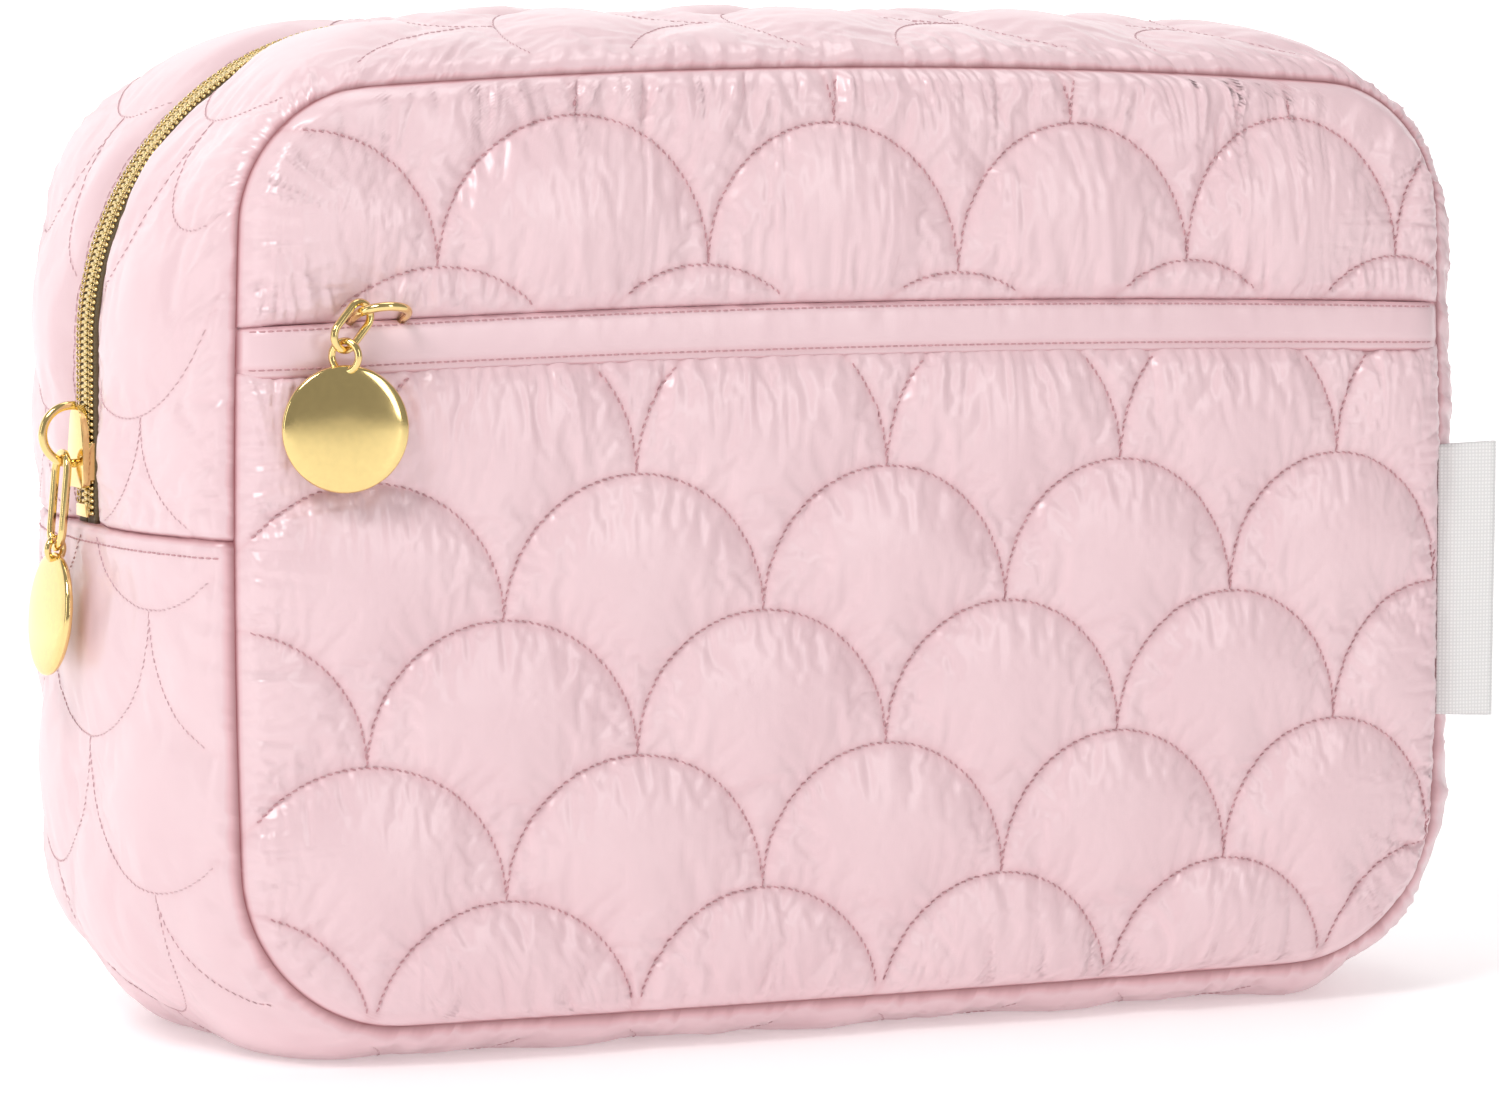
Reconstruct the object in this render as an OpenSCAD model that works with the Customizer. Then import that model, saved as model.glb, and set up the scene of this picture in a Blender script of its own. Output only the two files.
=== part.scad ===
// Quilted makeup bag with a wrap-around zipper, a front zipper pocket and disc pulls.
// Millimetres. X runs along the front, Y from front to back, Z up. The bag stands on z = 0.
// n is the distance outward from the seam outline, h the distance forward from the zipper line.

/* [Shell] */
// Width between the side seams of the front panel
seam_w = 228; // [200:1:240]
// Height of the bottom seam above the table
seam_low = 6.5; // [6:0.5:7]
// Height of the top seam above the table
seam_top = 163; // [155:1:175]
// Corner radius of the seam outline
seam_r = 32; // [28:1:36]
// Half the depth, from the zipper line to the front or back seam
half_depth = 45.5; // [44:0.5:50]
// How far the gusset bulges past the seam outline
bulge = 10; // [9.5:0.5:10]
// Thickness of the quilted gusset
gusset_t = 5; // [5:0.25:5.5]
// Thickness of the quilted panels
panel_t = 4.5; // [4:0.5:5]
// Thickness of the lining cloth
lining_t = 0.6; // [0.5:0.1:0.8]

/* [Opening] */
// Height of the seam between the base gusset and the zipper gusset
joint_z = 89; // [80:1:92]
// Height of the fold line that the two flaps turn about
fold_z = 125.25; // [125:0.25:126]
// Gap between a flap and the body at the fold
fold_gap = 0.3; // [0.3:0.1:0.6]

/* [Main zipper] */
// Outer half width of the coil
coil_w = 2.9; // [2.5:0.1:3]
// Thickness of the coil
coil_t = 2; // [1.6:0.1:2]
// Height of the slider's lower end above the table
slider_z = 95; // [92:1:96]
// Length of the slider
slider_l = 14; // [12:1:15]

/* [Front pocket] */
// Height of the pocket zipper's middle line
pocket_z = 121.8; // [121.8:0.1:122]
// How far the closed pocket slider's middle lies in from the left seam
pocket_in = 24; // [22:0.5:30]
// Length of the pocket slider
pocket_slider_l = 12; // [10:1:13]

/* [Pulls] */
// Radius of the disc
disc_r = 10.5; // [9:0.5:11]
// Thickness of the disc at its middle
disc_t = 2.8; // [2.4:0.1:3]
// Radius of the wire that the bridges are made of
wire_r = 0.75; // [0.6:0.05:0.8]

/* [Side tag] */
// Height of the tag's lower end
tag_z = 49; // [40:0.5:60]
// Length of the tag along the seam
tag_l = 49.5; // [40:0.5:55]
// Width that stands out of the seam
tag_w = 11; // [8:0.5:12]

/* [Hidden] */
$fn = 64;
far = 400;
clear = 0.3;
half_w = seam_w / 2;
panel_in = half_depth;
panel_out = half_depth + panel_t;
bow_r = (half_depth * half_depth + bulge * bulge) / (2 * bulge);
bow_n = bulge - bow_r;
low_z = fold_z - fold_gap / 2;
high_z = fold_z + fold_gap / 2;
// zipper tape and coil, as distances n at the zipper line
tape_t = 0.6;
tape_n = bulge - 3;
tape_w = 12.6;
coil_n = tape_n + tape_t;
mid_gap = 0.6;
lip_w = 4.6;
slider_w = 4.2;
plate_t = 1.3;
// pocket layers, as places y
pocket_coil_w = 2.2;
pocket_mid_gap = 0.5;
pocket_coil_t = 1.9;
pocket_slider_w = 3.2;
pocket_ends = half_w - 10;
welt_low = 114.8;
welt_high = 123.1;
welt_t = 1.3;
pocket_back = 40.1;
divider_t = 2.5;
pocket_inset = 4.2;
lining_inset = 6.6;
// main pull: hook is where its link lies on the bridge, lean how far the chain leans out
bridge_leg = 0.8;
bridge_r = 4.9;
bridge_z = slider_z + 9;
hook = 18.5;
lean = 5.3;
link_wire = 0.7;
link_w = 3.2;
link_l = 16;
ring_wire = 0.6;
ring_r = 1.9;
ring_turn = 30;
// pocket pull: hang is where its link lies on the bridge, slant how far it slants to the left
pocket_x = -half_w + pocket_in;
pocket_bridge_z = 123.875;
pocket_bridge_leg = 5;
pocket_bridge_r = 4.5;
pocket_tilt = 22;
hang = 70;
slant = 45;
pocket_link_wire = 0.65;
pocket_link_w = 2.3;
pocket_link_run = 4.4;
pocket_ring_r = 2.5;
pocket_ring_turn = -50;
pocket_disc_turn = -10;
hook_gap = 0.35;
ring_gap = 0.25;
touch = 0.05;
stop_l = 2.2;

// ---- outlines and sweeps ----

// Seam outline in the XZ plane, grown by off, as a flat shape in x and z
module outline(off) {
    w = half_w + off;
    r = seam_r + off;
    low = seam_low - off;
    high = seam_top + off;
    translate([-w + r, low]) square([2 * (w - r), high - low]);
    translate([-w, low + r]) square([2 * w, high - low - 2 * r]);
    for (x = [-w + r, w - r], z = [low + r, high - r])
        translate([x, z]) circle(r);
}

// A flat sheet with the seam outline between two depths and two heights
module sheet(y0, y1, off, z0, z1) {
    intersection() {
        translate([0, y1, 0]) rotate([90, 0, 0]) linear_extrude(y1 - y0) outline(off);
        translate([-far / 2, -far / 2, z0]) cube([far, far, z1 - z0]);
    }
}

// Run of a profile (n, h) up the right side from z0 to z1
module side_run(z0, z1) {
    translate([half_w, 0, z1]) rotate([180, 0, 0]) linear_extrude(z1 - z0) children();
}

// Run of a profile across the top, or the bottom when down is true
module cross_run(down) {
    flat = half_w - seam_r;
    z = down ? seam_low : seam_top;
    translate([0, 0, z]) rotate([0, down ? 90 : -90, 0]) translate([-half_w, 0, 0])
        translate([0, 0, -flat]) side_run(0, 2 * flat) children();
}

// The profile turned round the upper or the lower right corner
module corner_run(down) {
    z = down ? seam_low + seam_r : seam_top - seam_r;
    translate([half_w - seam_r, 0, z]) mirror([0, 0, down ? 1 : 0]) rotate([90, 0, 0])
        rotate_extrude(angle = 90) translate([seam_r, 0]) children();
}

module both_sides() {
    children();
    mirror([1, 0, 0]) children();
}

// From z0 on the left, over the top, and down to z0 on the right
module arch(z0) {
    cross_run(false) children();
    both_sides() {
        corner_run(false) children();
        side_run(z0, seam_top - seam_r) children();
    }
}

// From z1 on the left, under the bottom, and up to z1 on the right, flattened on the table
module cradle(z1) {
    intersection() {
        union() {
            cross_run(true) children();
            both_sides() {
                corner_run(true) children();
                side_run(seam_low + seam_r, z1) children();
            }
        }
        translate([-far / 2, -far / 2, 0]) cube(far);
    }
}

// ---- profiles, drawn as n across and h up ----

// The part of the bowed wall between depths t0 and t1 under its outer face
module wall(t0, t1, h0, h1) {
    intersection() {
        difference() {
            translate([bow_n, 0]) circle(bow_r - t0, $fn = 128);
            translate([bow_n, 0]) circle(bow_r - t1, $fn = 128);
        }
        translate([-20, h0]) square([60, h1 - h0]);
    }
}

// Quilted strip from the front seam to the zipper, stepped to take the tape
module strip_profile() {
    difference() {
        wall(0, gusset_t, lip_w, half_depth);
        translate([-20, 0]) square([20 + coil_n + clear, tape_w + clear]);
    }
}

module strip_lining_profile() {
    wall(gusset_t, gusset_t + lining_t, lip_w + 1, half_depth);
}

module tape_profile() {
    translate([tape_n, mid_gap]) square([tape_t, tape_w - mid_gap]);
}

module coil_profile() {
    translate([coil_n, mid_gap]) square([coil_t, coil_w - mid_gap]);
}

// Binding over the seam allowance, inside the corner at distance h
module binding_profile(h, n) {
    translate([n - 3.6, h]) square([3.6, 1.4]);
}

// ---- shell ----

module base_gusset() {
    color("#e9bcc6") cradle(joint_z) wall(0, gusset_t, -half_depth, half_depth);
}

module base_gusset_lining() {
    color("#f1d9de") {
        cradle(joint_z) wall(gusset_t, gusset_t + lining_t, -half_depth, half_depth);
        both_sides() side_run(joint_z, low_z) {
            strip_lining_profile();
            mirror([0, 1]) strip_lining_profile();
        }
    }
}

// Lower ends of the zipper gusset, left and right, for the front half
module gusset_sides() {
    color("#e9bcc6") both_sides() side_run(joint_z, low_z) strip_profile();
}

module gusset_arch() {
    color("#e9bcc6") arch(high_z) strip_profile();
}

module arch_lining() {
    color("#f1d9de") arch(high_z) strip_lining_profile();
}

module tape_ends() {
    color("#d9a9b4") both_sides() side_run(joint_z, low_z) tape_profile();
}

module zip_tape() {
    color("#d9a9b4") arch(high_z) tape_profile();
}

module coil_ends() {
    color("#d8c28a") both_sides() side_run(joint_z, low_z) coil_profile();
}

module zip_coil() {
    color("#d8c28a") arch(high_z) coil_profile();
}

module to_back() {
    mirror([0, 1, 0]) children();
}

module lower_sheet(y0, y1, off, top) {
    sheet(y0, y1, off, seam_low - 1, top);
}

module pocket_panel() {
    color("#e9bcc6") lower_sheet(-panel_out, -panel_in, 0, welt_low + 1.7);
}

module pocket_welt() {
    color("#e9bcc6") sheet(-panel_out - clear / 2 - welt_t, -panel_out, -1, welt_low, welt_high);
}

module pocket_lining_front() {
    color("#f1d9de") lower_sheet(-panel_in, -panel_in + lining_t, -lining_inset, pocket_z - tape_w - 0.2);
}

module pocket_lining_back() {
    color("#f1d9de") lower_sheet(-pocket_back, -pocket_back + lining_t, -pocket_inset, low_z);
}

module front_divider() {
    y = -pocket_back + lining_t;
    color("#f5eaec") lower_sheet(y, y + divider_t, -pocket_inset, low_z);
}

module front_lining() {
    y = -pocket_back + lining_t + divider_t;
    color("#f1d9de") lower_sheet(y, y + lining_t, -pocket_inset, low_z);
}

module back_panel_lower() {
    color("#e9bcc6") lower_sheet(panel_in, panel_out, 0, low_z);
}

module back_lining_lower() {
    color("#f1d9de") lower_sheet(panel_in - lining_t, panel_in, -lining_inset, low_z);
}

module front_seam_binding() {
    color("#d9a9b4") cradle(low_z) binding_profile(34.6, -2.4);
}

module back_seam_binding() {
    color("#d9a9b4") cradle(low_z) to_flat_back() binding_profile(43.2, -6.2);
}

module to_flat_back() {
    mirror([0, 1]) children();
}

module upper_panel() {
    color("#e9bcc6") sheet(-panel_out, -panel_in, 0, high_z, far);
}

module upper_lining() {
    color("#f1d9de") sheet(-panel_in, -panel_in + lining_t, -lining_inset, high_z, far);
}

module arch_binding() {
    color("#d9a9b4") arch(high_z) binding_profile(43.2, -6.2);
}

// ---- pocket zipper ----

// A straight strip along X between two distances w from the pocket zipper's middle line
module pocket_strip(w0, w1, y, t) {
    translate([-pocket_ends, y - t, pocket_z + w0]) cube([2 * pocket_ends, t, w1 - w0]);
}

module pocket_tape_lower() {
    color("#d9a9b4") pocket_strip(-tape_w, -pocket_mid_gap, -panel_in + tape_t + clear, tape_t);
}

module pocket_tape_upper() {
    color("#d9a9b4")
        pocket_strip(pocket_mid_gap, low_z - pocket_z, -panel_in + tape_t + clear, tape_t);
}

module pocket_coil_lower() {
    color("#dda9b5")
        pocket_strip(-pocket_coil_w, -pocket_mid_gap, -panel_in + clear, pocket_coil_t);
}

module pocket_coil_upper() {
    color("#dda9b5")
        pocket_strip(pocket_mid_gap, pocket_coil_w, -panel_in + clear, pocket_coil_t);
}

// ---- sliders: local x along the zipper to the nose, y across, z out of the bag ----

// Outline of a slider plate, wide at the mouth (x = 0) and rounded at the nose
function plate_points(l, w) = let (nose = 0.72 * w, r = 1.2) concat(
    [for (a = [180:15:270]) [r + r * cos(a), -w + r + r * sin(a)]],
    [[0.45 * l, -w]],
    [for (a = [-75:15:75]) [l - nose + nose * cos(a), nose * sin(a)]],
    [[0.45 * l, w]],
    [for (a = [90:15:180]) [r + r * cos(a), w - r + r * sin(a)]]
);

// in_z and out_z are the facing sides of the two plates, tape_z the outer side of the tape
module slider(l, w, coil, in_z, out_z, tape_z, post) {
    translate([0, 0, in_z - plate_t]) linear_extrude(plate_t) polygon(plate_points(l, w));
    translate([0, 0, out_z]) linear_extrude(plate_t) polygon(plate_points(l, w));
    // the post that parts the two rows
    translate([1, -post, in_z - 0.1]) cube([3, 2 * post, out_z - in_z + 0.2]);
    // the flanges that hold the coil's sides
    for (s = [-1, 1]) translate([1.4, s > 0 ? coil + clear : -w, tape_z + clear])
        cube([0.45 * l, w - coil - clear, out_z - tape_z - clear + 0.1]);
}

// A bridge of wire, from the plate at z = 0 out to its round end, in the local XZ plane
module bridge(r, leg) {
    for (s = [-1, 1]) translate([s * r, 0, 0]) cylinder(h = leg, r = wire_r);
    translate([0, 0, leg]) rotate([90, 0, 0]) rotate_extrude(angle = 180)
        translate([r, 0]) circle(wire_r);
}

// Long link of wire in the local XZ plane, from its upper round end at z = 0 down by run
module link(run, w, wire) {
    for (s = [-1, 1]) translate([s * w, 0, -run]) cylinder(h = run, r = wire);
    rotate([90, 0, 0]) rotate_extrude(angle = 180) translate([w, 0]) circle(wire);
    translate([0, 0, -run]) rotate([-90, 0, 0]) rotate_extrude(angle = 180)
        translate([w, 0]) circle(wire);
}

// Round disc with a domed face and a rounded rim, its axis along local Z
module disc() {
    rim = 0.9;
    dome = (disc_t - 2 * rim) / 2;
    rotate_extrude() polygon(concat(
        [[0, -rim - dome]],
        [for (i = [1:6]) let (r = (disc_r - rim) * i / 7) [r, -rim - dome * (1 - pow(i / 7, 2))]],
        [for (a = [-90:22.5:90]) [disc_r - rim + rim * cos(a), rim * sin(a)]],
        [for (i = [6:-1:1]) let (r = (disc_r - rim) * i / 7) [r, rim + dome * (1 - pow(i / 7, 2))]],
        [[0, rim + dome]]
    ));
}

// Upright ring in the local XZ plane
module ring(r) {
    rotate([90, 0, 0]) rotate_extrude() translate([r, 0]) circle(ring_wire);
}

// ---- main slider and its pull, on the left side; local x up, z to the left ----

module on_left(z) {
    translate([-half_w, 0, z]) rotate([0, -90, 0]) children();
}

module main_slider_body() {
    color("#d6bb62") on_left(slider_z)
        slider(slider_l, slider_w, coil_w, tape_n - clear, coil_n + coil_t + clear, coil_n, 0.3);
}

bridge_n = coil_n + coil_t + clear + plate_t;
bridge_x = -half_w - bridge_n - bridge_leg;

module main_slider_bridge() {
    color("#d6bb62") on_left(bridge_z) translate([0, 0, bridge_n]) bridge(bridge_r, bridge_leg);
}

// The chain hangs in the bridge's own frame, and then leans outward about its round end
hook_r = bridge_r - wire_r - link_wire - touch;
link_x = -hook_r * sin(hook);
link_top = -hook_r * cos(hook) - link_w;
link_low = link_top - link_l + link_w;
ring_z = link_low + link_wire + ring_wire + ring_gap - ring_r;
disc_z = ring_z - ring_r - disc_r + 1.4;

module on_bridge() {
    translate([bridge_x, 0, bridge_z]) rotate([0, lean, 0]) translate([link_x, 0, 0]) children();
}

module main_pull_link() {
    color("#d6bb62") on_bridge() translate([0, 0, link_top]) rotate([0, 0, 90])
        link(link_l - 2 * link_w, link_w, link_wire);
}

module main_pull_disc() {
    color("#d6bb62") on_bridge() {
        translate([0, 0, ring_z]) rotate([0, 0, ring_turn]) ring(ring_r);
        translate([0, 0, disc_z]) rotate([0, -90, 0]) disc();
    }
}

// ---- pocket slider and its pull; local x to the right, z forward ----

module on_front(x, z) {
    translate([x, 0, z]) rotate([90, 0, 0]) children();
}

pocket_tape_out = panel_in - clear;
pocket_coil_out = pocket_tape_out + pocket_coil_t;
pocket_plate_out = pocket_coil_out + clear + plate_t;

module pocket_slider_body() {
    color("#d6bb62") translate([pocket_x + pocket_slider_l / 2, 0, pocket_z]) rotate([90, 0, 180])
        mirror([0, 0, 1])
        slider(pocket_slider_l, pocket_slider_w, pocket_coil_w, pocket_tape_out - tape_t - clear,
            pocket_coil_out + clear, pocket_tape_out, 0.2);
}

module pocket_slider_bridge() {
    color("#d6bb62") difference() {
        translate([pocket_x, -pocket_plate_out, pocket_bridge_z]) rotate([90 - pocket_tilt, 0, 0])
            translate([0, 0, -1]) bridge(pocket_bridge_r, pocket_bridge_leg + 1);
        translate([-far / 2, -pocket_plate_out, 0]) cube(far);
    }
}

// where the link lies on the bridge's wire
hook_out = pocket_bridge_leg + pocket_bridge_r * cos(hang);
hook_x = pocket_x - pocket_bridge_r * sin(hang);
hook_y = -pocket_plate_out - hook_out * cos(pocket_tilt);
hook_z = pocket_bridge_z + hook_out * sin(pocket_tilt);
// the middles of the link's two round ends
end_z = hook_z + wire_r + pocket_link_wire + hook_gap - pocket_link_w;
low_x = hook_x - pocket_link_run * sin(slant) * sin(hang);
low_y = hook_y - pocket_link_run * sin(slant) * cos(hang);
low_end_z = end_z - pocket_link_run * cos(slant);

module pocket_pull_link() {
    color("#d6bb62") translate([hook_x, hook_y, end_z]) rotate([0, 0, 90 - hang]) rotate([0, slant, 0])
        link(pocket_link_run, pocket_link_w, pocket_link_wire);
}

pocket_ring_z = low_end_z - pocket_link_w + pocket_link_wire + ring_wire + ring_gap - pocket_ring_r;
pocket_disc_z = pocket_ring_z - pocket_ring_r - disc_r + 1.1;

module pocket_pull_disc() {
    color("#d6bb62") translate([low_x, low_y, 0]) {
        translate([0, 0, pocket_ring_z]) rotate([0, 0, pocket_ring_turn]) ring(pocket_ring_r);
        translate([0, 0, pocket_disc_z]) rotate([0, 0, pocket_disc_turn]) rotate([90, 0, 0]) disc();
    }
}

// ---- end stops: small metal staples across both coils ----

module main_end_stops() {
    color("#d6bb62") both_sides() on_left(joint_z + 1)
        translate([0, -coil_w, coil_n + coil_t]) cube([stop_l, 2 * coil_w, 0.6]);
}

module pocket_end_stops() {
    color("#d6bb62") both_sides() on_front(-pocket_ends + 0.4, pocket_z - pocket_coil_w)
        translate([0, 0, pocket_coil_out]) cube([stop_l, 2 * pocket_coil_w, 0.3]);
}

// ---- side tag: a folded ribbon caught in the right front seam ----

module side_tag() {
    fold_t = 0.6;
    x = half_w + 1;
    color("white") {
        for (y = [-fold_t, 0.0]) translate([x, -panel_in - 1 + y, tag_z])
            cube([tag_w - fold_t, fold_t, tag_l]);
        translate([x + tag_w - fold_t, -panel_in - 1, tag_z]) cylinder(h = tag_l, r = fold_t);
    }
}

base_gusset();
base_gusset_lining();
pocket_panel();
pocket_welt();
pocket_lining_front();
pocket_lining_back();
front_divider();
front_lining();
back_panel_lower();
back_lining_lower();
gusset_sides();  // front_gusset_sides
to_back() gusset_sides();  // back_gusset_sides
tape_ends();  // front_tape_ends
to_back() tape_ends();  // back_tape_ends
coil_ends();  // front_coil_ends
to_back() coil_ends();  // back_coil_ends
front_seam_binding();
back_seam_binding();
pocket_tape_lower();
pocket_tape_upper();
pocket_coil_lower();
pocket_coil_upper();
upper_panel();  // front_panel_upper
upper_lining();  // front_lining_upper
gusset_arch();  // front_gusset_arch
arch_lining();  // front_arch_lining
zip_tape();  // front_zip_tape
zip_coil();  // front_zip_coil
arch_binding();  // front_arch_binding
to_back() upper_panel();  // back_panel_upper
to_back() upper_lining();  // back_lining_upper
to_back() gusset_arch();  // back_gusset_arch
to_back() arch_lining();  // back_arch_lining
to_back() zip_tape();  // back_zip_tape
to_back() zip_coil();  // back_zip_coil
to_back() arch_binding();  // back_arch_binding
main_slider_body();
main_slider_bridge();
main_pull_link();
main_pull_disc();
pocket_slider_body();
pocket_slider_bridge();
pocket_pull_link();
pocket_pull_disc();
main_end_stops();
pocket_end_stops();
side_tag();
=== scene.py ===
"""Looks of the quilted makeup bag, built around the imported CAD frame.

Lengths are millimetres until add_mesh() turns them into metres. u runs round the bag in the XZ plane,
from 0 at the middle of the bottom, up the right side, to 6 at the middle of the top, and on to 12.
"""
import math

import bmesh
import bpy
import numpy as np
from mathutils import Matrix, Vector

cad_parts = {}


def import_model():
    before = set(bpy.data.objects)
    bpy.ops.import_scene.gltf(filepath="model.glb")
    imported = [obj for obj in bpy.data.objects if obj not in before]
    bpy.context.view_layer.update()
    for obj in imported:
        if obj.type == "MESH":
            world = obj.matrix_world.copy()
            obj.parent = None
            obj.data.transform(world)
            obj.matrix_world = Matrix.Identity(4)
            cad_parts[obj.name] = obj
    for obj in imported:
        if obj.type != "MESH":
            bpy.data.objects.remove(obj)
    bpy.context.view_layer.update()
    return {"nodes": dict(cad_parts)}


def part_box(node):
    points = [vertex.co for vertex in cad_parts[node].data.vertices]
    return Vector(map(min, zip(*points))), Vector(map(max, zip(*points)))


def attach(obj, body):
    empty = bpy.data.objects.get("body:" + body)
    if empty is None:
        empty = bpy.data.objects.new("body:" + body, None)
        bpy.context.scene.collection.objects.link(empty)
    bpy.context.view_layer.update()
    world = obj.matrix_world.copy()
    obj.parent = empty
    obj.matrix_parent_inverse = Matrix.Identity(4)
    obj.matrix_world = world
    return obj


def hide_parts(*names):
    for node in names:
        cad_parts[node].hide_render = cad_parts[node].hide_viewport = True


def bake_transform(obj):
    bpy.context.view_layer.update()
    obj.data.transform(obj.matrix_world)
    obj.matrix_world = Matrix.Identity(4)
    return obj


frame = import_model()
MM = 0.001


def span(node):
    """Lowest and highest corner of a CAD node, in millimetres."""
    low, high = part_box(node)
    return np.array(low) / MM, np.array(high) / MM


# ---- sizes, worked out from the frame ----

PANEL_LOW, PANEL_HIGH = span("pocket_panel")
TOP_LOW, TOP_HIGH = span("front_panel_upper")
WELT_LOW, WELT_HIGH = span("pocket_welt")
BASE_HIGH = span("base_gusset")[1]
TAG_LOW, TAG_HIGH = span("side_tag")
JOINT_Z = BASE_HIGH[2]
FOLD_Z = TOP_LOW[2]
SEAM_Y = -(PANEL_LOW[1] + PANEL_HIGH[1]) / 2 - 1.0      # depth of the bottom of the seam crease
SIDE_BOW = 2.0
TOP_CROWN = 4.5
BASE_DIP = 0.7
SEAM = {"w": PANEL_HIGH[0] - 0.7 - SIDE_BOW, "low": PANEL_LOW[2] + BASE_DIP, "top": TOP_HIGH[2] - 1.5,
        "r_low": 27.0, "r_top": 21.0, "crown": TOP_CROWN, "bow": SIDE_BOW, "dip": BASE_DIP}
MIDDLE_Z = (SEAM["low"] + SEAM["top"]) / 2
HALF_Z = (SEAM["top"] - SEAM["low"]) / 2
ROLL = 2.3                                              # how far padding stands out of the smooth gusset
MIDDLE = {"w": BASE_HIGH[0] - 0.2 - ROLL, "low": ROLL - 3.5, "top": TOP_HIGH[2] + 9.0 - ROLL,
          "r_low": 36.0, "r_top": 50.0, "crown": 3.2, "bow": 0.8, "dip": 0.0}
LIP_Y = 4.1                                             # half the width of the zipper's slot
WELT_TOP = WELT_HIGH[2] + 0.8
WELT_BOTTOM = WELT_LOW[2] + 0.4
UPPER_LOW = WELT_TOP + 0.05
POCKET_TOP = WELT_BOTTOM + 1.2                          # the pocket panel runs in under the welt
PITCH = 46.4                                            # width of a scallop
ROW = 23.4                                              # height of a row of scallops
STITCH = 1.3                                            # length of one quilting stitch
THREAD_R = 0.14                                         # half as thick as the quilting thread
FINE_THREAD_R = 0.105
LINING_EDGE = 0.6                                       # how far linings stop short of the seams


# ---- noise and small helpers ----

def noise1(x, seed):
    """Smooth noise from -1 to 1 along a line."""
    table = np.random.default_rng(seed).uniform(-1, 1, 1024)
    cell = np.floor(x).astype(int)
    part = x - cell
    part = part * part * (3 - 2 * part)
    return table[cell % 1024] * (1 - part) + table[(cell + 1) % 1024] * part


def noise2(x, y, seed):
    """Smooth noise from -1 to 1 over a plane."""
    table = np.random.default_rng(seed).uniform(-1, 1, (128, 128))
    i, j = np.floor(x).astype(int), np.floor(y).astype(int)
    a, b = x - i, y - j
    a, b = a * a * (3 - 2 * a), b * b * (3 - 2 * b)
    i0, i1, j0, j1 = i % 128, (i + 1) % 128, j % 128, (j + 1) % 128
    low = table[i0, j0] * (1 - a) + table[i1, j0] * a
    high = table[i0, j1] * (1 - a) + table[i1, j1] * a
    return low * (1 - b) + high * b


def smooth(x, a, b):
    """0 below a, 1 above b, and smooth between."""
    t = np.clip((x - a) / (b - a), 0, 1)
    return t * t * (3 - 2 * t)


def fade(x, width):
    """1 at nought, and less and less further out."""
    return np.exp(-x / width)


def bell(x, width):
    """1 at nought, and soon nothing on either side."""
    return np.exp(-(x / width) ** 2)


# ---- outlines ----

def warp(x, z, s):
    """Bows the sides of a rounded rectangle s, crowns its top and dips its bottom."""
    middle, half = (s["low"] + s["top"]) / 2, (s["top"] - s["low"]) / 2
    v = (z - middle) / half
    across = np.clip(1 - (x / s["w"]) ** 2, 0, 1)
    x = x * (1 + s["bow"] / s["w"] * np.clip(1 - v * v, 0, 1))
    z = z + s["crown"] * across * smooth(v, 0, 1) - s["dip"] * across * smooth(-v, 0, 1)
    return x, z


def path(u, s):
    """Point of the outline s at u, as x and z."""
    left = u > 6
    v = np.where(left, 12 - u, u)
    k = np.clip(np.floor(v), 0, 5).astype(int)
    f = v - k
    a = f * math.pi / 2
    w, low, top, r, q = s["w"], s["low"], s["top"], s["r_low"], s["r_top"]
    x = np.choose(k, [f * (w - r), w - r + r * np.sin(a), w + 0 * f, w + 0 * f,
                      w - q + q * np.cos(a), (w - q) * (1 - f)])
    z = np.choose(k, [low + 0 * f, low + r - r * np.cos(a), low + r + f * (JOINT_Z - low - r),
                      JOINT_Z + f * (top - q - JOINT_Z), top - q + q * np.sin(a), top + 0 * f])
    return warp(np.where(left, -x, x), z, s)


def along():
    """Table of u and of the distance round the bag, from the middle of the bottom."""
    u = np.linspace(0, 12, 4801)
    xs, zs = path(u, SEAM)
    xm, zm = path(u, MIDDLE)
    x, z = (xs + xm) / 2, (zs + zm) / 2
    step = np.hypot(np.diff(x), np.diff(z))
    return u, np.concatenate([[0], np.cumsum(step)])


U_TABLE, S_TABLE = along()
TOTAL = S_TABLE[-1]


def u_at_run(s):
    """u at a distance s round the bag; below 0 it runs up the left side."""
    return np.interp(np.mod(s, TOTAL), S_TABLE, U_TABLE)


def u_steps(u0, u1, pitch):
    """Values of u from u0 to u1 that lie evenly round the bag, about pitch apart."""
    s0, s1 = np.interp([u0, u1], U_TABLE, S_TABLE)
    count = max(2, int(round((s1 - s0) / pitch)) + 1)
    u = np.interp(np.linspace(s0, s1, count), S_TABLE, U_TABLE)
    for knot in range(math.ceil(u0), math.floor(u1) + 1):
        u[np.argmin(abs(u - knot))] = knot
    return u


# ---- quilting ----

def scallops(x, z, x_ref, z_ref):
    """Distance to the nearest stitch line, and the distance along it. One row's cusps lie at z_ref,
    and one of them is at x_ref; the next row down is half a scallop across."""
    r = PITCH / 2
    v = (z - z_ref) / ROW
    row0 = np.floor(v)
    best = np.full(np.shape(x), 1e9)
    run = np.zeros(np.shape(x))
    for dr in (-1, 0, 1):
        row = row0 + dr
        off = x_ref + r + (row % 2) * r
        col0 = np.round((x - off) / PITCH)
        for dc in (-1, 0, 1):
            cx = off + (col0 + dc) * PITCH
            px, pz = x - cx, (v - row) * r
            ring = abs(np.hypot(px, pz) - r)
            ends = np.hypot(abs(px) - r, pz)
            d = np.where(pz >= 0, ring, ends)
            angle = np.arctan2(np.maximum(pz, 0), px)
            s = angle * r + row * 331.7 + (col0 + dc) * 97.3
            run = np.where(d < best, s, run)
            best = np.minimum(best, d)
    return best, run


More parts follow.
